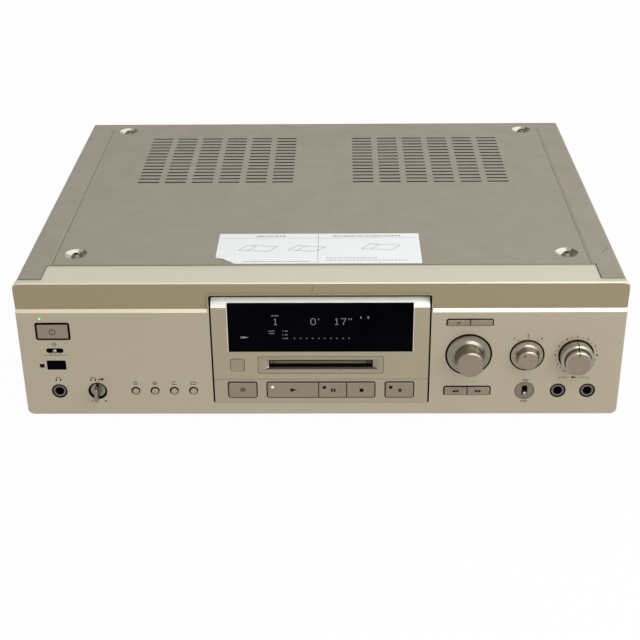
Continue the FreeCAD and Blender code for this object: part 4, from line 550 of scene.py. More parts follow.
def dress_all():
    """Every CAD node in its finish."""
    for nodes, material in PLAIN_FINISHES.items():
        for node in nodes.split():
            dress(node, material)
    for names, material in KEY_FINISHES.items():
        for name in names.split():
            # the keys' walls and the collars behind them are painted near black as shade
            dress(name + "_button", material, (gap_shade, wall), (gap_shade, behind(KEY_BACK)))
    # the knobs' sides get lighter, greyer copies of their metal as painted light
    jog_metal = turned("jog_metal", (137, 130, 116), *JOG)
    jog_drum_lit = turned("jog_drum_lit", (152, 150, 141), *JOG)
    input_metal = turned("input_metal", (148, 139, 124), *INPUT)
    input_drum_lit = turned("input_drum_lit", (158, 153, 141), *INPUT)
    level_metal = turned("level_metal", (160, 153, 140), *LEVEL)
    level_drum_lit = turned("level_drum_lit", (188, 186, 178), *LEVEL)
    wing_metal = turned("wing_metal", (134, 129, 117), PHONE_LEVEL, SOCKET_LEVEL)
    # The panel's metal comes in lit and shaded copies: painted shade on the leaning strip and the
    # openings' walls, painted highlights on the ledges, painted light on the top flange and under
    # the centre piece's opening.
    dress("front_panel", panel_gold, (strip_shade, leaning), (ledge_highlight, ledge),
          (flange_lit, flange_top), (gap_shade, panel_wall), (painted_highlight, pod_head))
    # the bevels get the near-white painted highlight, the walls painted shade
    for node in ("display_bezel", "transport_panel"):
        dress(node, pod_gold, (painted_highlight, cut_face), (gap_shade, wall))
    dress("mic_switch_plate", plate_gold, (gap_shade, wall))
    dress("slot_bezel", bezel_gold, (funnel_gold, funnel), (funnel_floor_shade, funnel_low),
          (gap_shade, wall))
    # painted shade in the creases, on the dishes' right walls and on the vents' edges, and painted
    # highlights on the dishes' back walls
    dress("top_cover", cover_gold, (crease_shade, crease), (dish_gold, dish),
          (dish_highlight, dish_back), (dish_shade, dish_right), (vent_shade, vent_wall))
    dress("light_pipes", clear_dark, (warm_light, around(*PLAY_LIGHT, 2)),
          (green_light, around(*POWER_LIGHT, 3)), (pale_light, around(*POWER_LIGHT, 0.72)))
    dress("mains_inlet", black_plastic, (bright_steel, inlet_blades))
    for node in ("phones_socket", "mic_sockets"):
        dress(node, black_plastic, (ring_grey, faces_front(SOCKET_FACE)))
    dress("jog_knob", jog_metal, (jog_drum_lit, wall), (knob_face, faces_front(JOG_FACE)))
    dress("input_knob", input_metal, (input_drum_lit, wall), (knob_face, faces_front(INPUT_FACE)))
    dress("level_ring", level_metal, (level_drum_lit, wall))
    dress("level_knob", level_metal, (level_drum_lit, wall), (knob_face, faces_front(LEVEL_FACE)))
    dress("phone_level_knob", wing_metal)
    barrels = [(bright_steel, around(x, z, BARREL_RADIUS, MOULDING_FACE + 2 * SLACK))
               for x in PHONO_COLUMNS for z in PHONO_ROWS]
    dress("audio_sockets", black_plastic, *barrels)
    dress("power_board", board_green, (sink_black, above(BOARD_TOP)))
    dress("main_board", board_green, (chip_black, above(BOARD_TOP)))


# ------------ printed marks, painted shade and painted highlights

def rect(x, z, width, height):
    """A rectangle about a point."""
    wide, high = width / 2, height / 2
    return [(x - wide, z - high), (x + wide, z - high), (x + wide, z + high), (x - wide, z + high)]


def dot(x, z, radius, count=20):
    """A round dot about a point."""
    leans = [math.tau * n / count for n in range(count)]
    return [(x + radius * math.cos(lean), z + radius * math.sin(lean)) for lean in leans]


def stroke(start, end, width):
    """A straight line of some width, as a quad."""
    along = Vector((end[0] - start[0], end[1] - start[1]))
    side = Vector((-along.y, along.x)).normalized() * (width / 2)
    return [(start[0] - side.x, start[1] - side.y), (end[0] - side.x, end[1] - side.y),
            (end[0] + side.x, end[1] + side.y), (start[0] + side.x, start[1] + side.y)]


def path(points, width):
    """Strokes along a run of points."""
    return [stroke(a, b, width) for a, b in zip(points, points[1:])]


def arc(x, z, radius, width, start=0.0, end=360.0, count=28):
    """A ring, or a part of one between two angles, as quads; zero points right, 90 points up."""
    leans = [math.radians(start + (end - start) * n / count) for n in range(count + 1)]
    inner, outer = radius - width / 2, radius + width / 2
    return [[(x + reach * math.cos(lean), z + reach * math.sin(lean))
             for reach, lean in ((inner, a), (outer, a), (outer, b), (inner, b))]
            for a, b in zip(leans, leans[1:])]


def clock(centre, degrees, radius):
    """A point about a centre; zero is up, and angles run as a clock's hands do."""
    lean = math.radians(degrees)
    return centre[0] + radius * math.sin(lean), centre[1] + radius * math.cos(lean)


def rounded_corners(left, right, foot, top, radius, steps):
    """The outline of a rectangle with rounded corners, each of this many steps."""
    points = []
    for x, z, start in ((right - radius, top - radius, 0), (left + radius, top - radius, 90),
                        (left + radius, foot + radius, 180), (right - radius, foot + radius, 270)):
        for step in range(steps + 1):
            lean = math.radians(start + 90 * step / steps)
            points.append((x + radius * math.cos(lean), z + radius * math.sin(lean)))
    return points


def on_front(level):
    """Places a mark on a face that looks forward, at a level of y."""
    return lambda u, v: at(u, level - PRINT_LIFT, v)


def on_back(level):
    """Places a mark on a face that looks back, at a level of y."""
    return lambda u, v: at(u, level + PRINT_LIFT, v)


def on_top(level):
    """Places a mark on a face that looks up, at a level of z."""
    return lambda u, v: at(u, v, level + PRINT_LIFT)


def add_item(name, data):
    """An object with this data, linked to the scene."""
    item = bpy.data.objects.new(name, data)
    bpy.context.scene.collection.objects.link(item)
    return item


def make_piece(name, body, material, vertices, faces):
    """A mesh object of these points and faces that rides on a body."""
    mesh = bpy.data.meshes.new(name)
    mesh.from_pydata(vertices, [], faces)
    mesh.update()
    item = add_item(name, mesh)
    mesh.materials.append(material)
    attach(item, body)
    return item


def printed(name, body, material, place, loops):
    """One piece of flat shapes on a surface: print, or painted shade and painted highlights."""
    vertices = []
    faces = []
    for loop in loops:
        first = len(vertices)
        vertices += [place(u, v) for u, v in loop]
        faces.append(list(range(first, len(vertices))))
    return make_piece(name, body, material, vertices, faces)


EM_HEIGHTS = 1.42  # a font's size for figures of height one
FIGURE_BOLD = 0.03


def figures(name, body, material, place, items, stretch):
    """Plain numbers or ON and OFF in Blender's own face; items are (text, x, z, height)."""
    vertices = []
    faces = []
    for text, x, z, height in items:
        curve = bpy.data.curves.new("figures", "FONT")
        curve.body = text
        curve.size = height * EM_HEIGHTS
        curve.align_x = "CENTER"
        curve.align_y = "CENTER"
        curve.resolution_u = 3
        curve.offset = height * FIGURE_BOLD
        writing = add_item("figures", curve)
        mesh = writing.evaluated_get(bpy.context.evaluated_depsgraph_get()).to_mesh()
        first = len(vertices)
        vertices += [place(x + v.co.x * stretch, z + v.co.y) for v in mesh.vertices]
        faces += [[first + i for i in face.vertices] for face in mesh.polygons]
        bpy.data.objects.remove(writing)
        bpy.data.curves.remove(curve)
    return make_piece(name, body, material, vertices, faces)


def triangle(x, z, width, height, facing=1):
    """A play arrowhead about a point; facing is 1 to the right and -1 to the left."""
    points = [(x - facing * width / 2, z - height / 2), (x + facing * width / 2, z),
              (x - facing * width / 2, z + height / 2)]
    return points if facing > 0 else points[::-1]


def rounded_outline(left, right, foot, top, radius, width):
    """A line round a rectangle with rounded corners."""
    points = rounded_corners(left, right, foot, top, radius, 3)
    return path(points + points[:1], width)


# left, right, foot and top of the openings that the keys stand in
KEY_OPENINGS = {"eject": (-67.15, -46.25, 14.4, 27.5), "play": (-39.15, 39.15, 14.4, 27.5),
                "record": (46.25, 67.15, 14.4, 27.5), "edit": (89.1, 121.8, 73.0, 78.4),
                "search": (88.7, 122.3, 16.3, 23.7), "power": (-202.1, -177.9, 62.5, 75.9)}
PAIRS = ("edit", "search")  # openings with cut corners, which two keys share


def shadow_lines():
    """Painted shade in dark lines round the keys, the sockets and the slot's frame, where their
    gaps shade, and painted highlights along the window's sides.
    """
    lines = []
    for name, (left, right, foot, top) in KEY_OPENINGS.items():
        left -= SLACK
        right += SLACK
        if name in PAIRS:
            head = top + SLACK
            lines += path([(left, foot), (left, top - 1.0), (left + 1.0, head),
                           (right - 1.0, head), (right, top - 1.0), (right, foot)], 0.6)
        else:
            lines += rounded_outline(left, right, foot - SLACK, top + SLACK, 1.5, 0.45)
    for x in ROUND_KEYS:
        lines += arc(x, SOCKET_LEVEL, 3.0, 0.9, 10, 215) + arc(x, SOCKET_LEVEL, 2.8, 0.5, 215, 370)
    printed("key_outlines", "case", ink_and_shade, on_front(0), lines)
    rings = [quad for x in (PHONES, *MICS) for quad in arc(x, SOCKET_LEVEL, 5.3, 0.8)]
    printed("socket_rings", "case", ink_and_shade, on_front(SOCKET_SHADE), rings)
    printed("slot_outline", "case", grey_wear_and_shade, on_front(0),
            rounded_outline(-45.0, 45.0, 34.5, 48.3, 1.6, 0.4))
    # painted highlights along the window's left and right edges
    edges = printed("window_edge_highlights", "case", painted_highlight, on_front(0),
                    [rect(-65.9, 70.0, 0.45, 35.0), rect(65.9, 70.0, 0.35, 35.0)])


def slot_shading():
    """Painted shade along the throat's and the flap's edges, a painted highlight where light
    catches the funnel's left corner, and painted shade at the right one.
    """
    half, foot, top = THROAT
    edges = path([(-half + 0.3, foot + 2.0), (-half + 0.3, top - 0.3), (half - 0.3, top - 0.3),
                  (half - 0.3, foot + 2.0)], 0.6)
    edges += [rect(side * (half - 3.6), top - 1.6, 0.45, 2.6) for side in (-1, 1)]
    printed("throat_shade_lines", "case", ink_and_shade, on_front(FUNNEL_DEPTH), edges)

    def on_corner(u, v):
        share = (half + FUNNEL_SIDE - abs(u)) / FUNNEL_SIDE
        return at(u, FUNNEL_DEPTH * share - PRINT_LIFT * 3, v)

    for name, side, material in (("funnel_glint", -1, painted_highlight), ("funnel_shade", 1, grey_wear_and_shade)):
        corner = [stroke((side * (half + 3.2), foot - 1.3), (side * half, foot + 0.5), 1.0)]
        printed(name, "case", material, on_corner, corner)


def key_symbols():
    """One plain symbol on each key that has one; they move with the keys."""
    face = on_front(KEY_FACE)
    printed("play_symbol", "play_key", ink_and_shade, face, [triangle(-19.7, 21.1, 4.9, 3.1)])
    printed("pause_symbol", "pause_key", ink_and_shade, face,
            [rect(7.9, 20.9, 1.3, 2.8), rect(9.8, 20.9, 1.3, 2.8)])
    printed("stop_symbol", "stop_key", ink_and_shade, face, [rect(29.3, 20.8, 2.8, 2.7)])
    printed("record_symbol", "record_key", record_red, face, [dot(57.1, 20.8, 1.5)])
    eject = path([(-58.3, 21.3), (-56.5, 23.3), (-54.7, 21.3), (-58.3, 21.3)], 0.5)
    eject += path([(-58.3, 20.3), (-54.7, 20.3)], 0.6)
    printed("eject_symbol", "eject_key", ink_and_shade, face, eject)
    for name, columns, facing in (("rewind", (95.8, 98.1), -1), ("forward", (112.5, 114.8), 1)):
        printed(name + "_symbol", name + "_key", ink_and_shade, face,
                [triangle(x, 19.9, 2.5, 2.5, facing) for x in columns])
    power = arc(-190.1, 69.0, 2.1, 0.45, 118, 422) + [rect(-190.1, 70.4, 0.45, 2.6)]
    printed("power_symbol", "power_key", ink_and_shade, face, power)
    printed("no_symbol", "no_key", record_red, face,
            [stroke((96.0, 74.4), (98.4, 76.8), 0.5), stroke((96.0, 76.8), (98.4, 74.4), 0.5)])


def clock_icon(x, z):
    return arc(x, z, 1.3, 0.35) + path([(x, z + 0.9), (x, z), (x + 0.7, z)], 0.35)


def list_icon(x, z):
    return [rect(x, z + lift, 3.2, 0.4) for lift in (-1.0, 0.0, 1.0)]


def loop_icon(x, z):
    return arc(x, z, 1.3, 0.38, 40, 320) + [triangle(x + 1.2, z - 0.9, 1.1, 1.1, -1)]


def screen_icon(x, z):
    corners = rect(x, z, 3.6, 2.0)
    return path(corners + corners[:1], 0.38)


def headphone_icon(x, z):
    return arc(x, z, 1.6, 0.4, 0, 180, 16) + [rect(x - 1.6, z - 0.6, 0.9, 1.6),
                                               rect(x + 1.6, z - 0.6, 0.9, 1.6)]


def microphone_icon(x, z):
    return [dot(x - 0.8, z, 0.85), stroke((x - 0.3, z), (x + 1.9, z), 0.7)]


def panel_marks():
    """Ticks, dots, scales and plain pictograms on the front panel."""
    face = on_front(0)
    marks = []
    for reach, x in ((-2.6, -193.4), (0.0, -190.0), (2.6, -186.6)):
        marks.append(stroke((x, 50.3), (x + reach * 0.12, 51.8), 0.4))
    marks += path([(-198.6, 49.8), (-180.8, 49.8)], 0.3)
    marks += clock_icon(-190.0, 58.6)
    marks.append(rect(-200.4, 41.2, 3.4, 3.0))
    marks += headphone_icon(PHONES, 29.9)
    marks += headphone_icon(PHONE_LEVEL - 2.6, 29.9)
    marks.append(triangle(PHONE_LEVEL + 2.6, 29.9, 4.6, 2.0, -1))
    marks += [dot(PHONE_LEVEL - 4.6, 11.6, 0.45), dot(PHONE_LEVEL + 5.2, 11.6, 0.7)]
    for x, icon in zip(ROUND_KEYS, (clock_icon, list_icon, loop_icon, screen_icon)):
        marks += icon(x, 26.4)
    marks += [stroke(clock(INPUT, angle, 13.3), clock(INPUT, angle, 14.4), 0.5)
              for angle in (-30, 0, 30)]
    marks += [dot(*clock(LEVEL, 30 * n - 135, 14.5), 0.42, 10) for n in range(10)]
    left, right = MICS
    middle = (left + right) / 2
    marks += path([(left, 29.2), (left, 31.0), (middle - 4.0, 31.0)], 0.3)
    marks += path([(middle + 4.0, 31.0), (right, 31.0), (right, 29.2)], 0.3)
    marks += arc(MIC_SWITCH, SOCKET_LEVEL, 7.0, 0.4)
    marks += microphone_icon(middle, 31.0)
    printed("panel_marks", "case", ink_and_shade, face, marks)
    scale = [(str(n), *clock(LEVEL, 30 * n - 150, 14.8), 1.6) for n in range(11)]
    figures("level_scale", "case", ink_and_shade, face, scale, stretch=1.2)
    stops = [(text, INPUT[0] + x, INPUT[1] + z, 1.8)
             for text, x, z in (("1", -9.6, 13.6), ("2", 0.0, 16.2), ("3", 9.6, 13.6))]
    figures("input_figures", "case", ink_and_shade, face, stops, stretch=1.2)
    words = [("ON", MIC_SWITCH, 28.6, 1.5), ("OFF", MIC_SWITCH, 11.0, 1.5)]
    figures("switch_words", "case", ink_and_shade, face, words, stretch=1.4)


def knob_marks():
    """Index lines and a dot that turn with the knobs; a profile is radii and levels of y."""
    x, z = LEVEL
    inner = [(9.15, -1.8), (9.15, LEVEL_FACE + 0.9), (8.25, LEVEL_FACE), (5.6, LEVEL_FACE)]
    outer = [(11.75, 0.5), (11.75, RING_FACE + 0.9), (10.85, RING_FACE), (9.8, RING_FACE)]
    for name, body, profile in (("level_knob_line", "level_inner", inner),
                                ("level_ring_line", "level_outer", outer)):
        vertices = [at(x + side, y - PRINT_LIFT, z + r + PRINT_LIFT)
                    for side in (-0.28, 0.28) for r, y in profile]
        count = len(profile)
        faces = [(n, n + 1, n + 1 + count, n + count) for n in range(count - 1)]
        make_piece(name, body, ink_and_shade, vertices, faces)
    printed("input_dot", "input_wheel", ink_and_shade, on_front(INPUT_FACE),
            [dot(*clock(INPUT, -33, 5.0), 0.65)])


# ------------ display

DOT_ROWS = {
    "0": ("01110", "10001", "10001", "10001", "10001", "10001", "01110"),
    "1": ("00100", "01100", "00100", "00100", "00100", "00100", "01110"),
    "7": ("11111", "00001", "00010", "00010", "00100", "00100", "00100"),
    "'": ("01000", "01000", "00000", "00000", "00000", "00000", "00000"),
    '"': ("01010", "01010", "00000", "00000", "00000", "00000", "00000"),
}
DOT_PITCH = 0.78
DOT_SIDE = DOT_PITCH * 0.76
DIGITS = (("1", -33.2), ("0'", -6.6), ('17"', 10.1))  # what is shown, and its left edge
DIGITS_FOOT = 74.1
METER_LEVEL = 63.0
METER_MARKS = ((-26.5, METER_LEVEL, 0.9, 0.8), (-24.2, METER_LEVEL, 2.4, 0.9),
               (-26.6, 66.0, 0.7, 0.8), (-24.2, 66.0, 1.9, 0.9), (-26.6, 68.9, 0.7, 0.8),
               (-24.2, 68.9, 1.9, 0.9), (-31.9, 81.2, 5.2, 0.8), (-34.6, 68.9, 4.6, 0.7),
               (-34.6, 67.0, 3.6, 0.7))
CORNER_SIGNS = ((28.6, 79.6, 0.8, 1.7), (33.7, 79.9, 1.1, 1.3), (34.0, 79.0, 0.6, 0.8))


def matrix_dots(text, left):
    """A character cell of five by seven dots for each character, from the left edge."""
    quads = []
    for place, character in enumerate(text):
        for row, line in enumerate(DOT_ROWS[character]):
            for column, dot_is_on in enumerate(line):
                if dot_is_on == "1":
                    x = left + (place * 6 + column) * DOT_PITCH
                    z = DIGITS_FOOT + (6 - row) * DOT_PITCH
                    quads.append(rect(x, z, DOT_SIDE, DOT_SIDE))
    return quads


def display():
    """Digits, level meter and play mark of the display, on the window's face."""
    face = on_front(WINDOW_FACE)
    digits = [quad for text, left in DIGITS for quad in matrix_dots(text, left)]
    printed("display_digits", "case", display_light, face, digits)
    meter = [rect(-18.4 + 4.3 * n, METER_LEVEL, 1.0, 0.9) for n in range(10)]
    meter += [rect(*mark) for mark in METER_MARKS]
    printed("display_meter", "case", faint_light, face, meter)
    signs = [triangle(-53.0, 63.9, 5.0, 1.8)] + path([(-56.4, 63.0), (-56.4, 64.8)], 0.5)
    signs += [rect(*mark) for mark in CORNER_SIGNS]
    printed("display_signs", "case", display_light, face, signs)


# ------------ plate, label and screws

BADGE = (-64.4, -55.0, 37.0, 46.2)  # left, right, foot and top
BADGE_CORNER = 1.1
BADGE_RISE = 0.35
BADGE_SINK = 0.02
BADGE_RIM = 0.0004  # in metres
BADGE_GROOVE = 0.0002  # width and depth, in metres


def badge():
    """Blank plate with a raised rim, where such decks carry a badge."""
    mesh = bmesh.new()
    left, right, foot, top = BADGE
    corners = rounded_corners(left, right, foot, top, BADGE_CORNER, 4)
    face = mesh.faces.new([mesh.verts.new(at(x, BADGE_SINK, z)) for x, z in corners])
    raised = bmesh.ops.extrude_face_region(mesh, geom=[face])["geom"]
    for item in raised:
        if isinstance(item, bmesh.types.BMVert):
            item.co.y -= (BADGE_RISE + BADGE_SINK) / 1000
    plate = [item for item in raised if isinstance(item, bmesh.types.BMFace)]
    bmesh.ops.inset_individual(mesh, faces=plate, thickness=BADGE_RIM, depth=0)
    bmesh.ops.inset_individual(mesh, faces=plate, thickness=BADGE_GROOVE, depth=-BADGE_GROOVE)
    bmesh.ops.recalc_face_normals(mesh, faces=mesh.faces)
    points = sorted(mesh.verts, key=lambda point: tuple(point.co))
    order = {point: n for n, point in enumerate(points)}
    faces = []
    for part in mesh.faces:
        loop = [order[point] for point in part.verts]
        first = loop.index(min(loop))
        faces.append(loop[first:] + loop[:first])
    item = make_piece("badge_plate", "case", badge_metal, [tuple(point.co) for point in points],
                      sorted(faces))    # sorted, as bmesh gives them in no fixed order
    mesh.free()
    printed("badge_outline", "case", ink_and_shade, on_front(0),
            rounded_outline(left - 0.3, right + 0.3, foot - 0.3, top + 0.3,
                            BADGE_CORNER + 0.3, 0.3))


LABEL_LEFT = -75.9
LABEL_RIGHT = 72.6
LABEL_NEAR = 29.3
LABEL_FAR = 81.5
DIVIDER = -2.0
LABEL_GRID = (96, 14)
LABEL_THICKNESS = 0.00008  # in metres
TORN_TO = -61.8  # the tear runs from the left edge to here
TORN_DEPTH = 10.4
CURL_PLACE = 6.0  # the corner lifts most this far in from both edges
CURL_REACH = 14.0
CURL_LIFT = 0.5


def label_front(x):
    """Where the label's near edge runs: straight, but torn away at the left corner."""
    if x >= TORN_TO:
        return LABEL_NEAR
    share = (TORN_TO - x) / (TORN_TO - LABEL_LEFT)
    ragged = 0.55 * math.sin(x * 2.3) + 0.35 * math.sin(x * 5.1)
    return LABEL_NEAR + TORN_DEPTH * share ** 0.8 + ragged * min(1, share * 4)


def paper_label():
    """A blank paper label on the cover, torn at one corner, where it lifts a little."""
    columns, rows = LABEL_GRID
    vertices = []
    for n in range(columns + 1):
        x = LABEL_LEFT + (LABEL_RIGHT - LABEL_LEFT) * n / columns
        near = label_front(x)
        for m in range(rows + 1):
            y = near + (LABEL_FAR - near) * m / rows
            to_corner = math.hypot(x - LABEL_LEFT - CURL_PLACE, y - LABEL_NEAR - CURL_PLACE)
            lift = CURL_LIFT * max(0.0, 1 - to_corner / CURL_REACH) ** 2
            wave = 0.02 * math.sin(x * 0.21) * math.sin(y * 0.17)
            vertices.append(at(x, y, COVER_TOP + 0.07 + lift + wave))
    starts = [n * (rows + 1) + m for n in range(columns) for m in range(rows)]
    faces = [(first, first + rows + 1, first + rows + 2, first + 1) for first in starts]
    item = make_piece("paper_label", "case", paper, vertices, faces)
    thickness = item.modifiers.new("thickness", "SOLIDIFY")
    thickness.thickness = LABEL_THICKNESS
    thickness.offset = -1


# runs of dashes: from x to x, their y and their height; boxes: x, y, width, depth and slant
WORD_LINES = ((-48, -28, 76.9, 1.3), (9, 57, 76.9, 1.3), (-55, -8, 32.6, 0.7), (4, 40, 38.4, 0.7),
              (4, 62, 34.6, 0.7))
DRAWINGS = ((-60, 52, 22, 9, 6), (-24, 52, 20, 8, 7), (30, 54, 22, 9, 6))


def label_lines():
    """Rules and grey dashes on the label, in place of its words and drawings."""
    place = on_top(COVER_TOP + 0.12)
    rules = path([(DIVIDER, LABEL_NEAR + 1), (DIVIDER, LABEL_FAR - 1)], 0.3)
    rules += path([(LABEL_LEFT + 1, LABEL_FAR - 8.2), (LABEL_RIGHT - 1, LABEL_FAR - 8.2)], 0.25)
    printed("label_rules", "case", print_grey, place, rules)
    random.seed(7)
    dashes = []
    for start, end, y, height in WORD_LINES:
        x = start
        while x < end:
            width = random.uniform(0.8, 2.2)
            dashes.append(rect(x + width / 2, y, width, height))
            x += width + random.uniform(0.4, 1.0)
    for x, y, wide, deep, skew in DRAWINGS:
        box = [(x, y), (x + wide, y - 2), (x + wide + skew, y + deep - 3), (x + skew, y + deep),
               (x, y)]
        dashes += path(box, 0.3)
        dashes += path([(x + wide * 0.3, y - 0.6), (x + wide * 0.3 + skew, y + deep - 1)], 0.3)
    printed("label_dashes", "case", print_dark, place, dashes)


REAR_SCREW = 2.6  # radii
FLOOR_SCREW = 2.8
SCREW_SIDES = 20
SCREW_PROFILE = ((1, 0), (0.96, 0.3), (0.78, 0.5), (0.5, 0.58))  # radii and heights, in radii
REAR_SCREWS = ((-204, 98), (-100, 98), (0, 98), (100, 98), (204, 98), (-204, 8), (-70, 8), (70, 8),
               (204, 8), (-190, 32), (-150, 32), (148.5, 50), (148.5, 30))


def screw(name, centre, outward, radius):
    """A pan-head screw with a cross recess, seated on a surface."""
    turn = Vector(outward).to_track_quat("Z", "Y").to_matrix().to_4x4()
    turn.translation = centre
    vertices = [Vector((x, y, radius * height)) / 1000 for across, height in SCREW_PROFILE
                for x, y in dot(0, 0, radius * across, SCREW_SIDES)]
    faces = []
    last = (len(SCREW_PROFILE) - 1) * SCREW_SIDES
    for a in range(last):
        b = a + 1 if (a + 1) % SCREW_SIDES else a + 1 - SCREW_SIDES
        faces.append((a, b, b + SCREW_SIDES, a + SCREW_SIDES))
    faces.append(tuple(range(last, last + SCREW_SIDES)))
    top = radius * SCREW_PROFILE[-1][1] + 0.02
    arm, half = radius * 0.46, radius * 0.1
    cross = []
    quarter = [(-arm, -half), (-half, -half), (-half, -arm)]
    for _ in range(4):
        cross += quarter
        quarter = [(-y, x) for x, y in quarter]
    first = len(vertices)
    vertices += [Vector((x, y, top)) / 1000 for x, y in cross]
    faces.append(tuple(range(first, first + len(cross))))
    item = make_piece(name, "case", bright_steel, [turn @ v for v in vertices], faces)
    item.data.materials.append(black_plastic)
    item.data.polygons[-1].material_index = 1
    for face in item.data.polygons[:-2]:
        face.use_smooth = True


def hidden_screws():
    """Screws of the rear panel, of the sockets' moulding and of the floor."""
    rear = [(x, REAR_FACE, z) for x, z in REAR_SCREWS]
    rear += [(x, MOULDING_FACE, 40) for x in (76, 98)]
    for n, place in enumerate(rear, 1):
        screw(f"rear_screw_{n}", at(*place), (0, 1, 0), REAR_SCREW)
    floor = [(x, y, 0) for x in (-198, -66, 66, 198) for y in (22, 165, 318)]
    for n, place in enumerate(floor, len(rear) + 1):
        screw(f"floor_screw_{n}", at(*place), (0, 0, -1), FLOOR_SCREW)


def rear_marks():
    """Insulator rings in the phono sockets, and plain rules round the groups of sockets."""
    for name, level, material in (("insulators_upper", PHONO_ROWS[1], insulator_white),
                                  ("insulators_lower", PHONO_ROWS[0], insulator_red)):
        rings = [quad for x in PHONO_COLUMNS for quad in arc(x, level, 2.55, 1.5, count=20)]
        printed(name, "case", material, on_back(BARREL_END), rings)
    frames = rounded_outline(56.0, 118.0, 20.5, 59.5, 2.0, 0.5)
    frames += rounded_outline(130.0, 167.0, 20.5, 59.5, 2.0, 0.5)
    frames += path([(92.0, 20.5), (92.0, 23.5)], 0.5) + path([(76.0, 59.5), (76.0, 62.0)], 0.5)
    printed("rear_rules", "case", print_grey, on_back(REAR_FACE), frames)


SCRATCHES = (((-5.6, 100.2), (-4.3, 105.6)), ((-6.4, 99.6), (-5.2, 100.4)),
             ((10.2, 98.2), (7.9, 100.6)))


def wear():
    """Small scratches on the leaning strip and specks on the cover."""
    def on_strip(u, v):
        return at(u, STRIP_LEAN * (STRIP_TOP - v) / STRIP_HEIGHT - 0.05, v)

    printed("strip_scratches", "case", grey_wear_and_shade, on_strip,
            [stroke(*ends, 0.3) for ends in SCRATCHES])
    specks = [stroke((203.5, 46), (206.5, 52), 0.5), stroke((207, 50), (208.2, 56), 0.4),
              stroke((204.8, 58), (207.6, 58.6), 0.3), dot(-32.0, 129.0, 0.6, 8),
              dot(-104.0, 106.0, 0.7, 8), dot(120.4, 172.0, 0.5, 8), dot(-19.0, 200.0, 0.4, 8)]
    printed("cover_specks", "case", grey_wear_and_shade, on_top(COVER_TOP), specks)


# ------------ studio

CAMERA_PLACE = (14.58, -797.79, 498.39)
CAMERA_PITCH = 0.485
CAMERA_YAW = 0.0185
CAMERA_ROLL = -0.0108
FOCAL_PIXELS = 1281.73
IMAGE_PIXELS = 640
SENSOR = 36.0
LAMP_TARGET = (0, 0, 0.05)
# name, place, width, height and watts; all in metres and in the shared frame
LAMPS = (("overhead", (0.55, -0.8, 1.24), 1.2, 0.9, 11.5),
         ("front", (1.7, -1.5, 0.9), 1.2, 1.0, 17))
SURROUND = (1.0, 0.998, 0.99, 1)
SURROUND_LIGHT = 0.38  # how strongly it lights the object; the camera sees it at 1
FLOOR = ((-6, -6, 0), (6, -6, 0), (6, 8, 0), (-6, 8, 0))
FLOOR_COLOUR = (0.86, 0.86, 0.85, 1)
FLOOR_GLOW = 0.97  # share of plain white in the floor, where it is seen


def camera():
    """A camera where the photographer stood, fitted to the case's edges."""
    data = bpy.data.cameras.new("camera")
    data.sensor_width = SENSOR
    data.lens = FOCAL_PIXELS / IMAGE_PIXELS * SENSOR
    item = add_item("camera", data)
    level = Vector((-math.sin(CAMERA_YAW), math.cos(CAMERA_YAW), 0))
    right = Vector((math.cos(CAMERA_YAW), math.sin(CAMERA_YAW), 0))
    ahead = level * math.cos(CAMERA_PITCH) - Vector((0, 0, math.sin(CAMERA_PITCH)))
    up = level * math.sin(CAMERA_PITCH) + Vector((0, 0, math.cos(CAMERA_PITCH)))
    side = right * math.cos(CAMERA_ROLL) + up * math.sin(CAMERA_ROLL)
    top = up * math.cos(CAMERA_ROLL) - right * math.sin(CAMERA_ROLL)
    turn = Matrix((side, top, -ahead)).transposed().to_4x4()
    item.matrix_world = Matrix.Translation(at(*CAMERA_PLACE)) @ turn
    bpy.context.scene.camera = item


def softbox(name, place, width, height, watts):
    """A rectangular lamp that looks at the middle of the scene."""
    data = bpy.data.lights.new(name, "AREA")
    data.shape = "RECTANGLE"
    data.size = width
    data.size_y = height
    data.energy = watts
    item = add_item(name, data)
    item.location = place
    item.rotation_euler = (Vector(LAMP_TARGET) - Vector(place)).to_track_quat("-Z", "Y").to_euler()


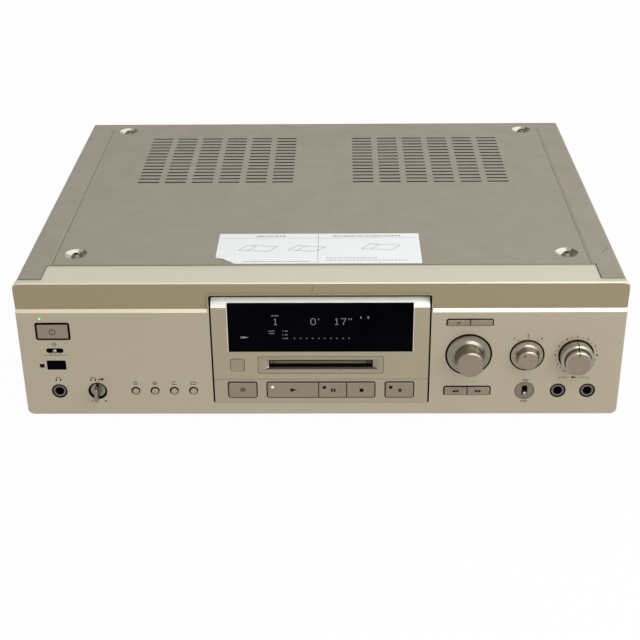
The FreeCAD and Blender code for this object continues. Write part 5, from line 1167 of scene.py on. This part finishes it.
def shown(nodes, links):
    """One for rays from the camera and for reflections and views through glass, else zero."""
    seen = nodes.new("ShaderNodeLightPath")
    value = seen.outputs["Is Camera Ray"]
    for kind in ("Is Glossy Ray", "Is Transmission Ray"):
        either = nodes.new("ShaderNodeMath")
        either.operation = "MAXIMUM"
        links.new(value, either.inputs[0])
        links.new(seen.outputs[kind], either.inputs[1])
        value = either.outputs[0]
    return value


def surround():
    """A white world that the camera sees at full strength and that lights the object less."""
    world = bpy.data.worlds.new("surround")
    bpy.context.scene.world = world
    world.use_nodes = True
    nodes = world.node_tree.nodes
    links = world.node_tree.links
    background = nodes["Background"]
    preset(background, {"Color": SURROUND})
    level = nodes.new("ShaderNodeMapRange")
    preset(level, {"To Min": SURROUND_LIGHT, "To Max": 1.0})
    links.new(shown(nodes, links), level.inputs["Value"])
    links.new(level.outputs["Result"], background.inputs["Strength"])


def pale_floor():
    """A floor that is seen nearly white and still takes the object's shadow."""
    mesh = bpy.data.meshes.new("floor")
    mesh.from_pydata(FLOOR, [], [(0, 1, 2, 3)])
    floor = add_item("floor", mesh)
    material = bpy.data.materials.new("floor")
    material.use_nodes = True
    nodes = material.node_tree.nodes
    links = material.node_tree.links
    shader = nodes["Principled BSDF"]
    preset(shader, {"Base Color": FLOOR_COLOUR, "Roughness": 0.9})
    glow = nodes.new("ShaderNodeEmission")
    share = nodes.new("ShaderNodeMath")
    share.operation = "MULTIPLY"
    preset(share, {1: FLOOR_GLOW})
    mix = nodes.new("ShaderNodeMixShader")
    links.new(shown(nodes, links), share.inputs[0])
    links.new(share.outputs[0], mix.inputs["Fac"])
    links.new(shader.outputs[0], mix.inputs[1])
    links.new(glow.outputs[0], mix.inputs[2])
    links.new(mix.outputs[0], nodes["Material Output"].inputs["Surface"])
    mesh.materials.append(material)


def studio():
    """White surround, a broad lamp above the front, a second farther out, and the floor."""
    surround()
    for lamp in LAMPS:
        softbox(*lamp)
    bpy.context.scene.view_settings.view_transform = "Standard"
    pale_floor()


dress_all()
shadow_lines()
slot_shading()
key_symbols()
panel_marks()
knob_marks()
display()
badge()
paper_label()
label_lines()
hidden_screws()
rear_marks()
wear()
studio()
camera()
